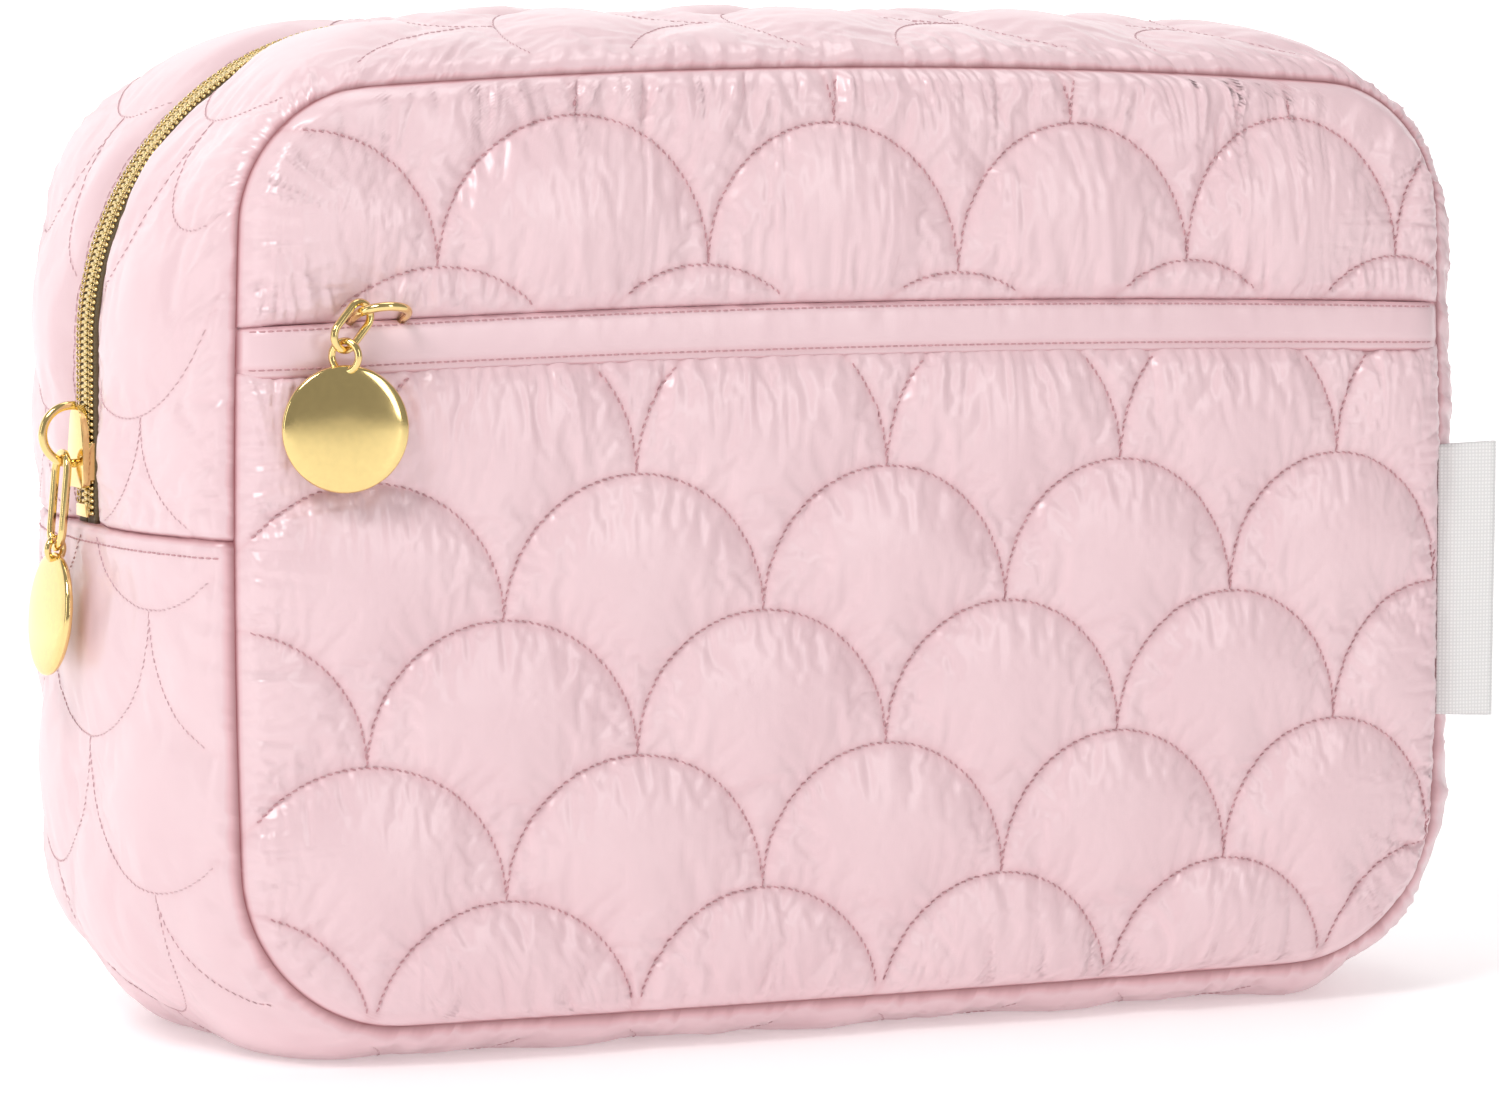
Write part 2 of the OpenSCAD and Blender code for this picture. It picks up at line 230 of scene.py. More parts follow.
def pucker(s, d, seed, reach):
    """Small creases that run away from a seam: s along it, d away from it."""
    far = reach * (0.55 + 0.45 * noise1(s * 0.5, seed + 2))
    s = s + d * 0.5 * noise1(s * 0.25, seed + 1)
    fine = 1 - 2 * abs(noise1(s, seed + 3))
    wide = noise1(s * 0.5, seed + 4)
    size = fade(d, far) * (1 - fade(d, 0.8))
    return size * (0.55 * fine + 0.6 * wide)


# ---- meshes ----

def add_mesh(name, verts, faces, material, attribute=None):
    """A new object of millimetre points. attribute is a value per point of painted shade, 0 in the open to 1
    deep in seams and creases.
    """
    mesh = bpy.data.meshes.new(name)
    mesh.from_pydata((np.asarray(verts, float) * MM).tolist(), [], faces)
    mesh.validate()
    if attribute is not None:
        layer = mesh.attributes.new("crease_shade", "FLOAT", "POINT")
        layer.data.foreach_set("value", np.asarray(attribute, np.float32))
    mesh.polygons.foreach_set("use_smooth", np.ones(len(mesh.polygons), bool))
    mesh.materials.append(material)
    mesh.update()
    piece = bpy.data.objects.new(name, mesh)
    bpy.context.collection.objects.link(piece)
    return piece


def grid_faces(rows, cols, start=0, flip=False):
    i, j = np.meshgrid(np.arange(rows - 1), np.arange(cols - 1), indexing="ij")
    a = start + i * cols + j
    quads = np.stack([a, a + 1, a + cols + 1, a + cols], -1).reshape(-1, 4)
    return (quads[:, ::-1] if flip else quads).tolist()


def shell(name, outer, inner, material, attribute=None):
    """A closed piece between two grids of points with the same number of rows and columns."""
    rows, cols = outer.shape[:2]
    count = rows * cols
    faces = grid_faces(rows, cols) + grid_faces(rows, cols, count, True)
    grid = np.arange(count).reshape(rows, cols)
    loop = np.concatenate([grid[0, :-1], grid[:-1, -1], grid[-1, :0:-1], grid[:0:-1, 0]])
    ring = np.roll(loop, -1)
    faces += np.stack([ring, loop, loop + count, ring + count], -1).tolist()
    verts = np.concatenate([outer.reshape(-1, 3), inner.reshape(-1, 3)])
    if attribute is not None:
        # the inner faces get a little painted shade
        attribute = np.concatenate([attribute.ravel(), np.full(count, 0.3)])
    return add_mesh(name, verts, faces, material, attribute)


def tubes(name, rings, material):
    """Closed tubes: rings holds each tube's rings, and each ring's points."""
    count, rows, sides = rings.shape[:3]
    k = np.arange(sides)
    quad = np.stack([k, (k + 1) % sides, (k + 1) % sides + sides, k + sides], -1)
    one = (quad[None] + np.arange(rows - 1)[:, None, None] * sides).reshape(-1, 4)
    first = np.arange(count)[:, None, None] * rows * sides
    faces = (one[None] + first).reshape(-1, 4).tolist()
    caps = np.array([k[::-1], (rows - 1) * sides + k])
    faces += (caps[None] + first).reshape(-1, sides).tolist()
    return add_mesh(name, rings.reshape(-1, 3), faces, material)


# ---- cloth simulation of quilted pieces ----

SIM_SCALE = 0.02                                        # metres that a millimetre stands for in the solver


def billow(a, b, held, reach, push, extra, seed, bend=0.3):
    """Cloth simulation of a flat grid of cloth, a across and b up, while wadding pushes it outward.

    Points with held below reach are stitched down. extra is the share by which the cloth is longer than
    its stitches, which makes it pucker. Returns how far each point moves across, out and up, in mm.
    """
    rows, cols = a.shape
    start = 0.15 * np.random.default_rng(seed).random(a.shape) * (held > reach)
    verts = np.stack([a, -start, b], -1).reshape(-1, 3) * SIM_SCALE
    i, j = np.meshgrid(np.arange(rows - 1), np.arange(cols - 1), indexing="ij")
    k = (i * cols + j).reshape(-1, 1)
    even = ((i + j) % 2 == 0).reshape(-1, 1)
    first = np.where(even, k + [0, 1, cols + 1], k + [0, 1, cols])
    second = np.where(even, k + [0, cols + 1, cols], k + [1, cols + 1, cols])
    mesh = bpy.data.meshes.new("swatch")
    mesh.from_pydata(verts.tolist(), [], np.concatenate([first, second]).tolist())
    swatch = bpy.data.objects.new("swatch", mesh)
    bpy.context.collection.objects.link(swatch)
    group = swatch.vertex_groups.new(name="held")
    group.add(np.where((held <= reach).ravel())[0].tolist(), 1.0, "REPLACE")
    cloth = swatch.modifiers.new("cloth", "CLOTH")
    rule = cloth.settings
    rule.vertex_group_mass = "held"
    rule.pin_stiffness = 50
    rule.quality = 5
    rule.mass = 0.2
    rule.air_damping = 2.0
    rule.tension_stiffness = rule.compression_stiffness = 30
    rule.shear_stiffness = 5
    rule.bending_stiffness = bend
    rule.tension_damping = rule.compression_damping = rule.shear_damping = 5
    rule.bending_damping = 0.5
    rule.shrink_min = -extra
    cloth.collision_settings.use_collision = False
    scene = bpy.context.scene
    gravity = tuple(scene.gravity)
    scene.gravity = (0, -push, 0)
    frames = 24
    cloth.point_cache.frame_start, cloth.point_cache.frame_end = 1, frames
    for number in range(1, frames + 1):
        scene.frame_set(number)
    shape = swatch.evaluated_get(bpy.context.evaluated_depsgraph_get()).to_mesh()
    points = np.empty(rows * cols * 3, np.float32)
    shape.vertices.foreach_get("co", points)
    scene.gravity = gravity
    bpy.data.objects.remove(swatch)
    bpy.data.meshes.remove(mesh)
    scene.frame_set(1)
    moved = points.reshape(rows, cols, 3).astype(float) / SIM_SCALE
    return moved[..., 0] - a, -moved[..., 1], moved[..., 2] - b


def finer(grid):
    """A grid with twice the rows and columns, on smooth curves through the old ones."""
    for axis in (0, 1):
        g = np.moveaxis(grid, axis, 0)
        g = np.concatenate([2 * g[:1] - g[1:2], g, 2 * g[-1:] - g[-2:-1]])
        out = np.empty((2 * (len(g) - 2) - 1, *g.shape[1:]))
        out[::2] = g[1:-1]
        out[1::2] = (9 * (g[1:-2] + g[2:-1]) - g[:-3] - g[3:]) / 16
        grid = np.moveaxis(out, 0, axis)
    return grid


def lookup(points, rows, cols):
    """A function from a row and a column value to a point of the grid."""
    def at(r, c):
        i = np.clip(np.interp(r, rows, np.arange(len(rows))), 0, len(rows) - 1.001)
        j = np.clip(np.interp(c, cols, np.arange(len(cols))), 0, len(cols) - 1.001)
        m, n = i.astype(int), j.astype(int)
        i, j = (i - m)[..., None], (j - n)[..., None]
        low = points[m, n] * (1 - i) + points[m + 1, n] * i
        high = points[m, n + 1] * (1 - i) + points[m + 1, n + 1] * i
        return low * (1 - j) + high * j
    return at


# ---- the gusset ----

def gusset_base(u, h):
    """Smooth surface of the gusset: h is the depth, from the zipper line to either seam."""
    xs, zs = path(u, SEAM)
    xm, zm = path(u, MIDDLE)
    t = np.clip(abs(h) / SEAM_Y, 0, 1)
    b = 1 - t ** 2.5
    x = xs + (xm - xs) * b
    z = zs + (zm - zs) * b
    return np.stack([x, h + 0 * x, z], -1)


def gusset_normal(u, h):
    e = 0.004
    du = gusset_base(np.clip(u + e, 0, 12), h) - gusset_base(np.clip(u - e, 0, 12), h)
    dh = gusset_base(u, h + 0.2) - gusset_base(u, h - 0.2)
    n = np.cross(dh, du)
    return n / np.maximum(np.linalg.norm(n, axis=-1, keepdims=True), 1e-9)


JOINT_S = np.interp(3, U_TABLE, S_TABLE)
GUSSET_REF = {False: (-28.0, 36.0 - JOINT_S - ROW), True: (-25.5, TOTAL - JOINT_S - 22.6)}
LIP_STITCH = 2.8                                        # from the lip to its topstitch
JOINT_STITCH = 2.9                                      # from the joint seam down to its topstitch


def gusset_quilt(u, h, split):
    """Distance round the bag, then the distance to the nearest stitch line and along it. The scallops
    all point one way along the cut cloth, so they point down on the left side."""
    s = np.interp(u, U_TABLE, S_TABLE)
    run = s if split else np.where(s > TOTAL / 2, s - TOTAL, s)
    return s, scallops(h, run, *GUSSET_REF[split])


def gusset_height(u, h, split):
    """Height over the smooth gusset, the painted shade for its creases and the distance to what holds the
    cloth down.
    split is true for the zipper's two strips."""
    s, (d, run) = gusset_quilt(u, h, split)
    edge = np.maximum(SEAM_Y - abs(h), 0)
    side = np.where(h > 0, 1, 0)
    inner = abs(h) - LIP_Y if split else 1e3 + 0 * h
    joint = np.minimum(abs(s - JOINT_S), abs(TOTAL - s - JOINT_S))
    height = ROLL * (1 - fade(edge, 1.15)) * smooth(np.minimum(inner, 12), -1.0, 9)
    height += 0.8 * np.where(side == 1, pucker(s, edge, 41, 8.0), 1.5 * pucker(s, edge, 47, 7.0))
    height += 0.4 * pucker(h + 90, joint, 53, 5.0) + 0.12 * pucker(run, d, 59, 3.0)
    height += 0.35 * noise2(s / 17.0, (h + 60) / 12.0, 57) * smooth(edge, 0, 8) * smooth(inner, 0, 8)
    # painted shade: darkens the seam, the quilting stitches, the lip's topstitch row and the joint seam
    crease_shade = 0.85 * bell(edge, 0.3) + 0.10 * fade(d, 0.45)
    height -= 0.8 * fade(joint, 0.6)
    row = inner - LIP_STITCH if split else joint - JOINT_STITCH
    height -= 0.35 * bell(row, 0.6)
    crease_shade += 0.15 * bell(row, 0.4) + 0.75 * bell(joint, 0.35)
    held = np.minimum(np.minimum(d, edge), np.minimum(inner if split else edge, joint))
    return height, np.clip(crease_shade, 0, 1), held


def settle(points):
    """Flattens what would go below the table."""
    z = points[..., 2]
    soft = 0.35
    points[..., 2] = (z + np.sqrt(z * z + soft * soft)) / 2 + 0.02
    return points


def gusset_sheet(s, h, split, seed, fine):
    """Points and painted shade for the creases of a quilted piece of the gusset, and the s and h of its finer
    grid.
    """
    ss, hh = np.meshgrid(s, h, indexing="ij")
    reach = 0.55 * (h[1] - h[0])
    moved = billow(hh, ss, gusset_height(u_at_run(ss), hh, split)[2], reach, 3.0, 0.014, seed)
    if fine:
        ss, hh, *moved = [finer(g) for g in (ss, hh, *moved)]
    height, crease_shade, _ = gusset_height(u_at_run(ss), hh, split)
    u, side = u_at_run(ss + moved[2]), hh + moved[0]
    points = gusset_base(u, side) + gusset_normal(u, side) * (height + 0.8 * moved[1])[..., None]
    return settle(points), crease_shade, ss[:, 0], hh[0]


# ---- the panels ----

def edge_of_panel(x, z):
    """Distance in from the outline of a panel, and the distance along it from the middle of the top."""
    s = SEAM
    upper = z > MIDDLE_Z
    r = np.where(upper, s["r_top"], s["r_low"])
    level = abs(z - MIDDLE_Z)
    qx = abs(x) - (s["w"] - r)
    qz = level - (HALF_Z - r)
    inside = np.hypot(np.maximum(qx, 0), np.maximum(qz, 0)) + np.minimum(np.maximum(qx, qz), 0) - r
    angle = np.arctan2(np.maximum(qz, 0), np.maximum(qx, 1e-6))
    up = np.where((qx > 0) & (qz > 0), HALF_Z - r + r * angle,
                  np.where(qx > qz, level, HALF_Z - r + r * math.pi / 2 - np.minimum(qx, 0)))
    half = HALF_Z - s["r_top"] + s["r_top"] * math.pi / 2 + s["w"] - s["r_top"]
    t = np.where(upper, half - up, half + up)
    return -inside, t * np.sign(x + 1e-9)


def corner(x, z, wide, high):
    """1 in the corners of a panel and 0 in its middle; corners reach wide across and high up."""
    side = smooth(abs(x), SEAM["w"] - wide, SEAM["w"] - 20)
    return side * smooth(abs(z - MIDDLE_Z), HALF_Z - high, HALF_Z - 4)


def drift(x, z, spec):
    """Where a point of a panel lies in the even pattern: hand-cut cloth lets the scallops drift a little."""
    base, grow, centre, drop = spec["drift"]
    return x + base + grow * ((x - centre) / 120) ** 2, z + drop * (0.4 + np.exp(-((x - 15) / 50) ** 2))


def undrift(line, spec):
    """Points of the even pattern, put where the drift takes them on the panel."""
    x = np.linspace(-130, 130, 521)
    across = np.interp(line[:, 0], drift(x, 0 * x, spec)[0], x)
    return np.stack([across, line[:, 1] - drift(across, 0 * across, spec)[1]], 1)


def panel_height(x, z, spec):
    """Height of a panel over its seam line without its quilting, its painted shade for creases, and the
    distance to what holds the cloth down."""
    edge, t = edge_of_panel(x, z)
    edge = np.maximum(edge, 0)
    near = edge
    d, run = scallops(*drift(x, z, spec), spec["x"], spec["z"])
    top = smooth(z, SEAM["top"] - 16, SEAM["top"] - 4)
    calm = 1 - 0.8 * corner(x, z, 40, 14)
    seed = spec["seed"]
    creases = (1.0 + 0.5 * top) * calm * pucker(t, edge, seed, 10.0 + spec["pull"])
    rise = 1 - fade(edge, 1.25)
    # painted shade: darkens the seam; free edges and quilting stitches add more below
    crease_shade = bell(edge, 0.3)
    for level, way in spec["cuts"]:
        gap = np.maximum((z - level) * way, 0)
        creases = creases + 0.8 * pucker(x + 300, gap, seed + 11 + int(way), 12.0)
        near = np.minimum(near, gap)
        rise = rise * (1 - 0.3 * fade(gap, 1.2))
        crease_shade = crease_shade + 0.3 * bell(gap, 0.3)
    broad = 1 - fade(edge, 16.0)
    height = 2.6 * rise + 2.4 * broad + creases * smooth(near, 0, 2)
    height += 0.75 * (1 - fade(d, 0.9)) * smooth(near, 0, 3) + 0.42 * calm * pucker(run, d, seed + 61, 5.0)
    height += 0.22 * calm * noise1(run / 0.9, seed + 67) * fade(d, 1.5) * smooth(near, 0, 2)
    height += 0.5 * noise2((x + 300) / 21.0 + z / 40.0, z / 17.0, seed + 3) * smooth(near, 0, 9)
    crease_shade = crease_shade + 0.22 * fade(d, 0.5)
    return height, np.clip(crease_shade, 0, 1), np.minimum(near, d)


def half_width(z):
    """Half the width of a panel at the height z."""
    s = SEAM
    r = np.where(z > MIDDLE_Z, s["r_top"], s["r_low"])
    below = np.maximum(s["low"] + r - z, z - (s["top"] - r))
    return s["w"] - r + np.sqrt(np.maximum(r * r - np.maximum(below, 0) ** 2, 0))


def quilted_panel(name, low, high, spec, pitch, fine):
    """A quilted panel, and a function from x and z to a point on it."""
    rows, cols = int((high - low) / pitch) + 1, int(2 * SEAM["w"] / pitch)
    z, t = np.linspace(low, high, rows), np.sin(np.linspace(-1, 1, cols) * 0.9) / math.sin(0.9)
    zz, tt = np.meshgrid(z, t, indexing="ij")
    xx = tt * half_width(zz)
    held = panel_height(xx, zz, spec)[2]
    held[[0, -1]] = held[:, [0, -1]] = 0
    still = 1 - 0.85 * corner(xx, zz, 50, 16)
    moved = [m * still for m in billow(xx, zz, held, 0.55 * pitch, spec["push"], spec["extra"], spec["seed"])]
    if fine:
        zz, tt, *moved = [finer(g) for g in (zz, tt, *moved)]
        xx = tt * half_width(zz)
    height, crease_shade, _ = panel_height(xx, zz, spec)
    px, pz = warp(xx + moved[0], zz + moved[2], SEAM)
    py = spec["side"] * (SEAM_Y + height + spec["puff"] * moved[1])
    outer = np.stack([px, py, pz], -1)
    inner = outer.copy()
    inner[..., 1] = spec["side"] * (SEAM_Y - 1.2)
    at = lookup(outer, zz[:, 0], tt[0])

    def place(x, z):
        point = at(z, x / half_width(z))
        point[..., 1] += spec["side"] * 0.1
        return point
    if spec["side"] > 0:
        outer, inner, crease_shade = outer[:, ::-1], inner[:, ::-1], crease_shade[:, ::-1]
    return shell(name, outer, inner, NYLON, crease_shade), place


# ---- threads ----

def capsules(name, starts, ends, radius, material, sides=5):
    """One mesh of short threads that run from starts to ends."""
    starts, ends = np.asarray(starts, float), np.asarray(ends, float)
    axis = ends - starts
    length = np.linalg.norm(axis, axis=1, keepdims=True)
    axis = axis / np.maximum(length, 1e-9)
    helper = np.where(abs(axis[:, [2]]) < 0.8, [[0, 0, 1.0]], [[1.0, 0, 0]])
    a = np.cross(axis, helper)
    a /= np.linalg.norm(a, axis=1, keepdims=True)
    b = np.cross(axis, a)
    turn = np.arange(sides)[:, None] * 2 * math.pi / sides
    around = np.cos(turn) * a[:, None] + np.sin(turn) * b[:, None]
    rings = [(starts + (ends - starts) * share)[:, None] + radius * size * around
             for share, size in ((0.0, 0.35), (0.16, 1.0), (0.84, 1.0), (1.0, 0.35))]
    return tubes(name, np.stack(rings, 1), material)


def stitch_row(place, line, gap=0.34, wiggle=0.13):
    """Threads along a line of 2-D points, put on a surface by place(a, b)."""
    line = np.asarray(line, float)
    step = np.hypot(*np.diff(line, axis=0).T)
    run = np.concatenate([[0], np.cumsum(step)])
    count = int(run[-1] / STITCH)
    if count < 1:
        return np.zeros((0, 3)), np.zeros((0, 3))
    at = np.arange(count) * STITCH
    ends = []
    for shift in (gap / 2, 1 - gap / 2):
        a = np.interp(at + shift * STITCH, run, line[:, 0])
        b = np.interp(at + shift * STITCH, run, line[:, 1])
        da = np.interp(at + 0.5, run, line[:, 0]) - np.interp(at, run, line[:, 0])
        db = np.interp(at + 0.5, run, line[:, 1]) - np.interp(at, run, line[:, 1])
        size = np.maximum(np.hypot(da, db), 1e-6)
        way = wiggle * (1 if shift < 0.5 else -1)
        ends.append(place(a - db / size * way, b + da / size * way))
    return ends[0], ends[1]


def scallop_lines(x0, x1, z0, z1, x_ref, z_ref):
    """The stitch lines of the scallops that reach into a box."""
    r = PITCH / 2
    lines = []
    for row in range(int((z0 - z_ref) // ROW) - 1, int((z1 - z_ref) // ROW) + 2):
        off = x_ref + r + (row % 2) * r
        for col in range(int((x0 - off) // PITCH) - 1, int((x1 - off) // PITCH) + 3):
            a = np.linspace(0, math.pi, 40)
            lines.append(np.stack([off + col * PITCH + r * np.cos(a),
                                   z_ref + row * ROW + ROW * np.sin(a)], 1))
    return lines


def stretches(line, keep):
    """The stretches of a line where keep is true."""
    out, start = [], None
    for i, k in enumerate(list(keep) + [False]):
        if k and start is None:
            start = i
        if not k and start is not None:
            if i - start > 2:
                out.append(line[start:i])
            start = None
    return out


def panel_threads(name, low, high, spec, place):
    """Quilting threads of a panel between two heights."""
    starts, ends = [], []
    for line in scallop_lines(-120, 130, low, high + 8, spec["x"], spec["z"]):
        line = undrift(line, spec)
        edge, _ = edge_of_panel(line[:, 0], line[:, 1])
        keep = (edge > 1.2) & (line[:, 1] > low + 0.8) & (line[:, 1] < high - 0.8)
        for part in stretches(line, keep):
            a, b = stitch_row(place, part)
            starts.append(a)
            ends.append(b)
    return capsules(name, np.concatenate(starts), np.concatenate(ends), THREAD_R, THREAD)


# ---- materials ----

def set_inputs(n, values):
    for key, value in values.items():
        n.inputs[key].default_value = value
    return n


def node(tree, kind, inputs=(), **values):
    n = tree.nodes.new(kind)
    for key, value in values.items():
        setattr(n, key, value)
    return set_inputs(n, dict(inputs))


def material(name, base, rough, metal=0.0):
    """A new material, its node tree, its shader and its object coordinates."""
    m = bpy.data.materials.new(name)
    m.use_nodes = True
    tree = m.node_tree
    shader = tree.nodes["Principled BSDF"]
    set_inputs(shader, {"Base Color": (*base, 1), "Roughness": rough, "Metallic": metal})
    return m, tree, shader, node(tree, "ShaderNodeTexCoord").outputs["Object"]


def ramp(tree, factor, stops, into):
    """Colours a socket by a factor: stops are places from 0 to 1 and their colours."""
    n = tree.nodes.new("ShaderNodeValToRGB")
    elements = n.color_ramp.elements
    stops = list(stops)
    while len(elements) < len(stops):
        elements.new(0.5)
    for e, (at, colour) in zip(elements, stops):
        e.position = at
        e.color = (*colour, 1)
    tree.links.new(factor, n.inputs["Fac"])
    tree.links.new(n.outputs["Color"], into)


def range_of(tree, value, low, high, into):
    """Puts a value from 0 to 1 into a socket as a value from low to high."""
    n = node(tree, "ShaderNodeMapRange", {"To Min": low, "To Max": high})
    tree.links.new(value, n.inputs["Value"])
    tree.links.new(n.outputs["Result"], into)


def bump(tree, shader, heights):
    """heights are (socket, strength, distance in millimetres), laid one over another."""
    last = None
    for socket, strength, distance in heights:
        n = node(tree, "ShaderNodeBump", {"Strength": strength, "Distance": distance * MM})
        tree.links.new(socket, n.inputs["Height"])
        if last is not None:
            tree.links.new(last, n.inputs["Normal"])
        last = n.outputs["Normal"]
    tree.links.new(last, shader.inputs["Normal"])


def weave(tree, coords, threads_per_mm):
    """A plain weave: two waves at right angles, multiplied."""
    scale = threads_per_mm * 1000 * math.pi / 10
    m = node(tree, "ShaderNodeMath", operation="MULTIPLY")
    for k, direction in enumerate("XZ"):
        w = node(tree, "ShaderNodeTexWave", {"Scale": scale, "Distortion": 0.6, "Detail": 1.0},
                 wave_type="BANDS", bands_direction=direction)
        tree.links.new(coords, w.inputs["Vector"])
        tree.links.new(w.outputs["Fac"], m.inputs[k])
    return m.outputs["Value"]


def noise_node(tree, coords, scale, detail=3.0, rough=0.5, distortion=0.0):
    n = node(tree, "ShaderNodeTexNoise",
             {"Scale": scale, "Detail": detail, "Roughness": rough, "Distortion": distortion})
    tree.links.new(coords, n.inputs["Vector"])
    return n.outputs["Fac"]


def nylon():
    """Glossy down-proof nylon: a fine taffeta weave, small crinkles, and painted shade that darkens creases
    and seams.
    """
    m, tree, shader, coords = material("quilted_nylon", (0.84, 0.58, 0.62), 0.3)
    crease_shade = node(tree, "ShaderNodeAttribute", attribute_name="crease_shade").outputs["Fac"]
    cloud = noise_node(tree, coords, 38.0, 4.0, 0.6)
    mix = node(tree, "ShaderNodeMix", data_type="RGBA", blend_type="MULTIPLY")
    mix.inputs["Factor"].default_value = 1.0
    ramp(tree, cloud, [(0.25, (0.83, 0.585, 0.62)), (0.75, (0.88, 0.645, 0.675))], mix.inputs["A"])
    # painted shade: darkens the nylon to dark red-brown in seams, stitch grooves and under the welt
    ramp(tree, crease_shade, [(0.0, (1, 1, 1)), (0.35, (0.90, 0.76, 0.77)), (1.0, (0.34, 0.12, 0.13))],
         mix.inputs["B"])
    tree.links.new(mix.outputs["Result"], shader.inputs["Base Color"])
    range_of(tree, noise_node(tree, coords, 120.0), 0.28, 0.38, shader.inputs["Roughness"])
    set_inputs(shader, {"Sheen Weight": 0.12, "Sheen Roughness": 0.4, "Sheen Tint": (1.0, 0.85, 0.88, 1),
                           "Specular IOR Level": 0.75, "Coat Weight": 0.22, "Coat Roughness": 0.26})
    bump(tree, shader, [(noise_node(tree, coords, 150.0, 3.0, 0.5, 0.4), 0.10, 0.6),
                        (weave(tree, coords, 3.2), 0.06, 0.04)])
    return m


def shades(base, share):
    """A colour and its darker shade, as the stops of a ramp."""
    return tuple(c * share for c in base), base


def thread(name, base):
    """Spun polyester thread."""
    m, tree, shader, coords = material(name, base, 0.6)
    fibre = noise_node(tree, coords, 2600.0, 2.0)
    ramp(tree, fibre, zip((0.3, 0.7), shades(base, 0.8)), shader.inputs["Base Color"])
    shader.inputs["Sheen Weight"].default_value = 0.3
    bump(tree, shader, [(fibre, 0.3, 0.05)])
    return m


def woven(name, base, rough=0.7, threads=1.6, depth=0.12, sheen=0.2):
    """A plain woven cloth, such as tape, lining or ribbon."""
    m, tree, shader, coords = material(name, base, rough)
    pattern = weave(tree, coords, threads)
    ramp(tree, pattern, zip((0.0, 0.6), shades(base, 0.84)), shader.inputs["Base Color"])
    range_of(tree, noise_node(tree, coords, 90.0), rough - 0.06, rough + 0.08, shader.inputs["Roughness"])
    shader.inputs["Sheen Weight"].default_value = sheen
    bump(tree, shader, [(noise_node(tree, coords, 60.0, 3.0), 0.12, 0.8), (pattern, 0.35, depth)])
    return m


def gold(name, base, rough_low, rough_high):
    """Polished pale gold plate with faint polishing marks."""
    m, tree, shader, coords = material(name, base, rough_low, 1.0)
    marks = noise_node(tree, coords, 900.0, 3.0, 0.6)
    range_of(tree, noise_node(tree, coords, 160.0), rough_low, rough_high, shader.inputs["Roughness"])
    ramp(tree, marks, zip((0.3, 0.7), shades(base, 0.94)), shader.inputs["Base Color"])
    bump(tree, shader, [(marks, 0.04, 0.05)])
    return m


NYLON = nylon()
THREAD = thread("quilting_thread", (0.68, 0.36, 0.39))
PALE_THREAD = thread("gusset_thread", (0.80, 0.545, 0.58))
GOLD = gold("gold_plate", (0.90, 0.69, 0.30), 0.08, 0.14)
GOLD_COIL = gold("gold_coil", (0.80, 0.63, 0.31), 0.2, 0.32)
# a real core cord under the coil teeth, but its near-black colour is painted shade for the gaps between the
# teeth
CORE_PAINTED_SHADE = woven("coil_core_painted_shade", (0.13, 0.09, 0.04), 0.7, 1.5, 0.1)
TAPE = woven("woven_tape", (0.66, 0.42, 0.46), 0.75, 1.8, 0.12)
PINK_COIL = woven("pink_coil", (0.74, 0.46, 0.50), 0.45, 1.2, 0.05)
LINING = woven("lining", (0.82, 0.60, 0.63), 0.55, 3.0, 0.06, 0.35)
RIBBON = woven("ribbon", (0.93, 0.92, 0.91), 0.8, 1.6, 0.08)

# ---- soft pieces ----

# x and z place the scallops; drift is how the pattern wanders; cuts are free edges and which way the panel
# lies from them; push and extra are the wadding's force and the spare cloth; puff scales what comes of it
POCKET = {"x": 1.5, "z": 98.0, "seed": 100, "push": 7.0, "extra": 0.024, "puff": 0.85, "side": -1,
          "pull": 0.0, "drift": (-1.6, 6.0, -45.0, 0.0), "cuts": [(POCKET_TOP, -1.0)]}
UPPER = {"x": 18.2, "z": 133.5, "seed": 160, "push": 8.0, "extra": 0.03, "puff": 0.85, "side": -1,
         "pull": 6.0, "drift": (2.0, 8.0, -20.0, 3.7), "cuts": [(UPPER_LOW, 1.0)]}
BACK = {"x": 3.0, "z": 98.0, "seed": 220, "push": 7.0, "extra": 0.024, "puff": 0.85, "side": 1,
        "pull": 2.0, "drift": (0.0, 3.0, 10.0, 0.0), "cuts": []}
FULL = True
FINE = 1.0 if FULL else 1.6                             # spacing of the cloth's points
ROUGH = 1.25 if FULL else 2.0
COARSE = 3.0


def soft(piece, body, slot_name, nodes=(), fill=None, other=None, bend=None):
    """Rides and replaces a soft piece. other is the flap's body: a piece given one is baked in place
    rather than ridden. bend is not used."""
    if other is None:
        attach(piece, body)
    else:
        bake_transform(piece)
    if nodes:
        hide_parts(*nodes)


BACK_BEND = ("back_flap", ((FOLD_Z - 8) * MM, (FOLD_Z + 8) * MM))
SIDE_BEND = ((FOLD_Z - 22) * MM, (FOLD_Z + 16) * MM)

for label, low, high, spec, pitch, fine, nodes, body, bend in (
        ("pocket_panel", SEAM["low"], POCKET_TOP, POCKET, FINE, FULL, ["pocket_panel"], "root", ()),
        ("upper_panel", UPPER_LOW, SEAM["top"], UPPER, FINE, FULL, ["front_panel_upper"], "front_flap", ()),
        ("back_panel", SEAM["low"], SEAM["top"], BACK, ROUGH, False, ["back_panel_lower", "back_panel_upper"],
         "root", BACK_BEND)):
    piece, on_panel = quilted_panel(f"{label}_quilted", low, high, spec, pitch, fine)
    soft(piece, body, "quilted_nylon", nodes, 0.6, *bend)
    threads = panel_threads(f"{label}_stitching", low, high, spec, on_panel)
    soft(threads, body, "quilted_nylon", (), None, *bend)


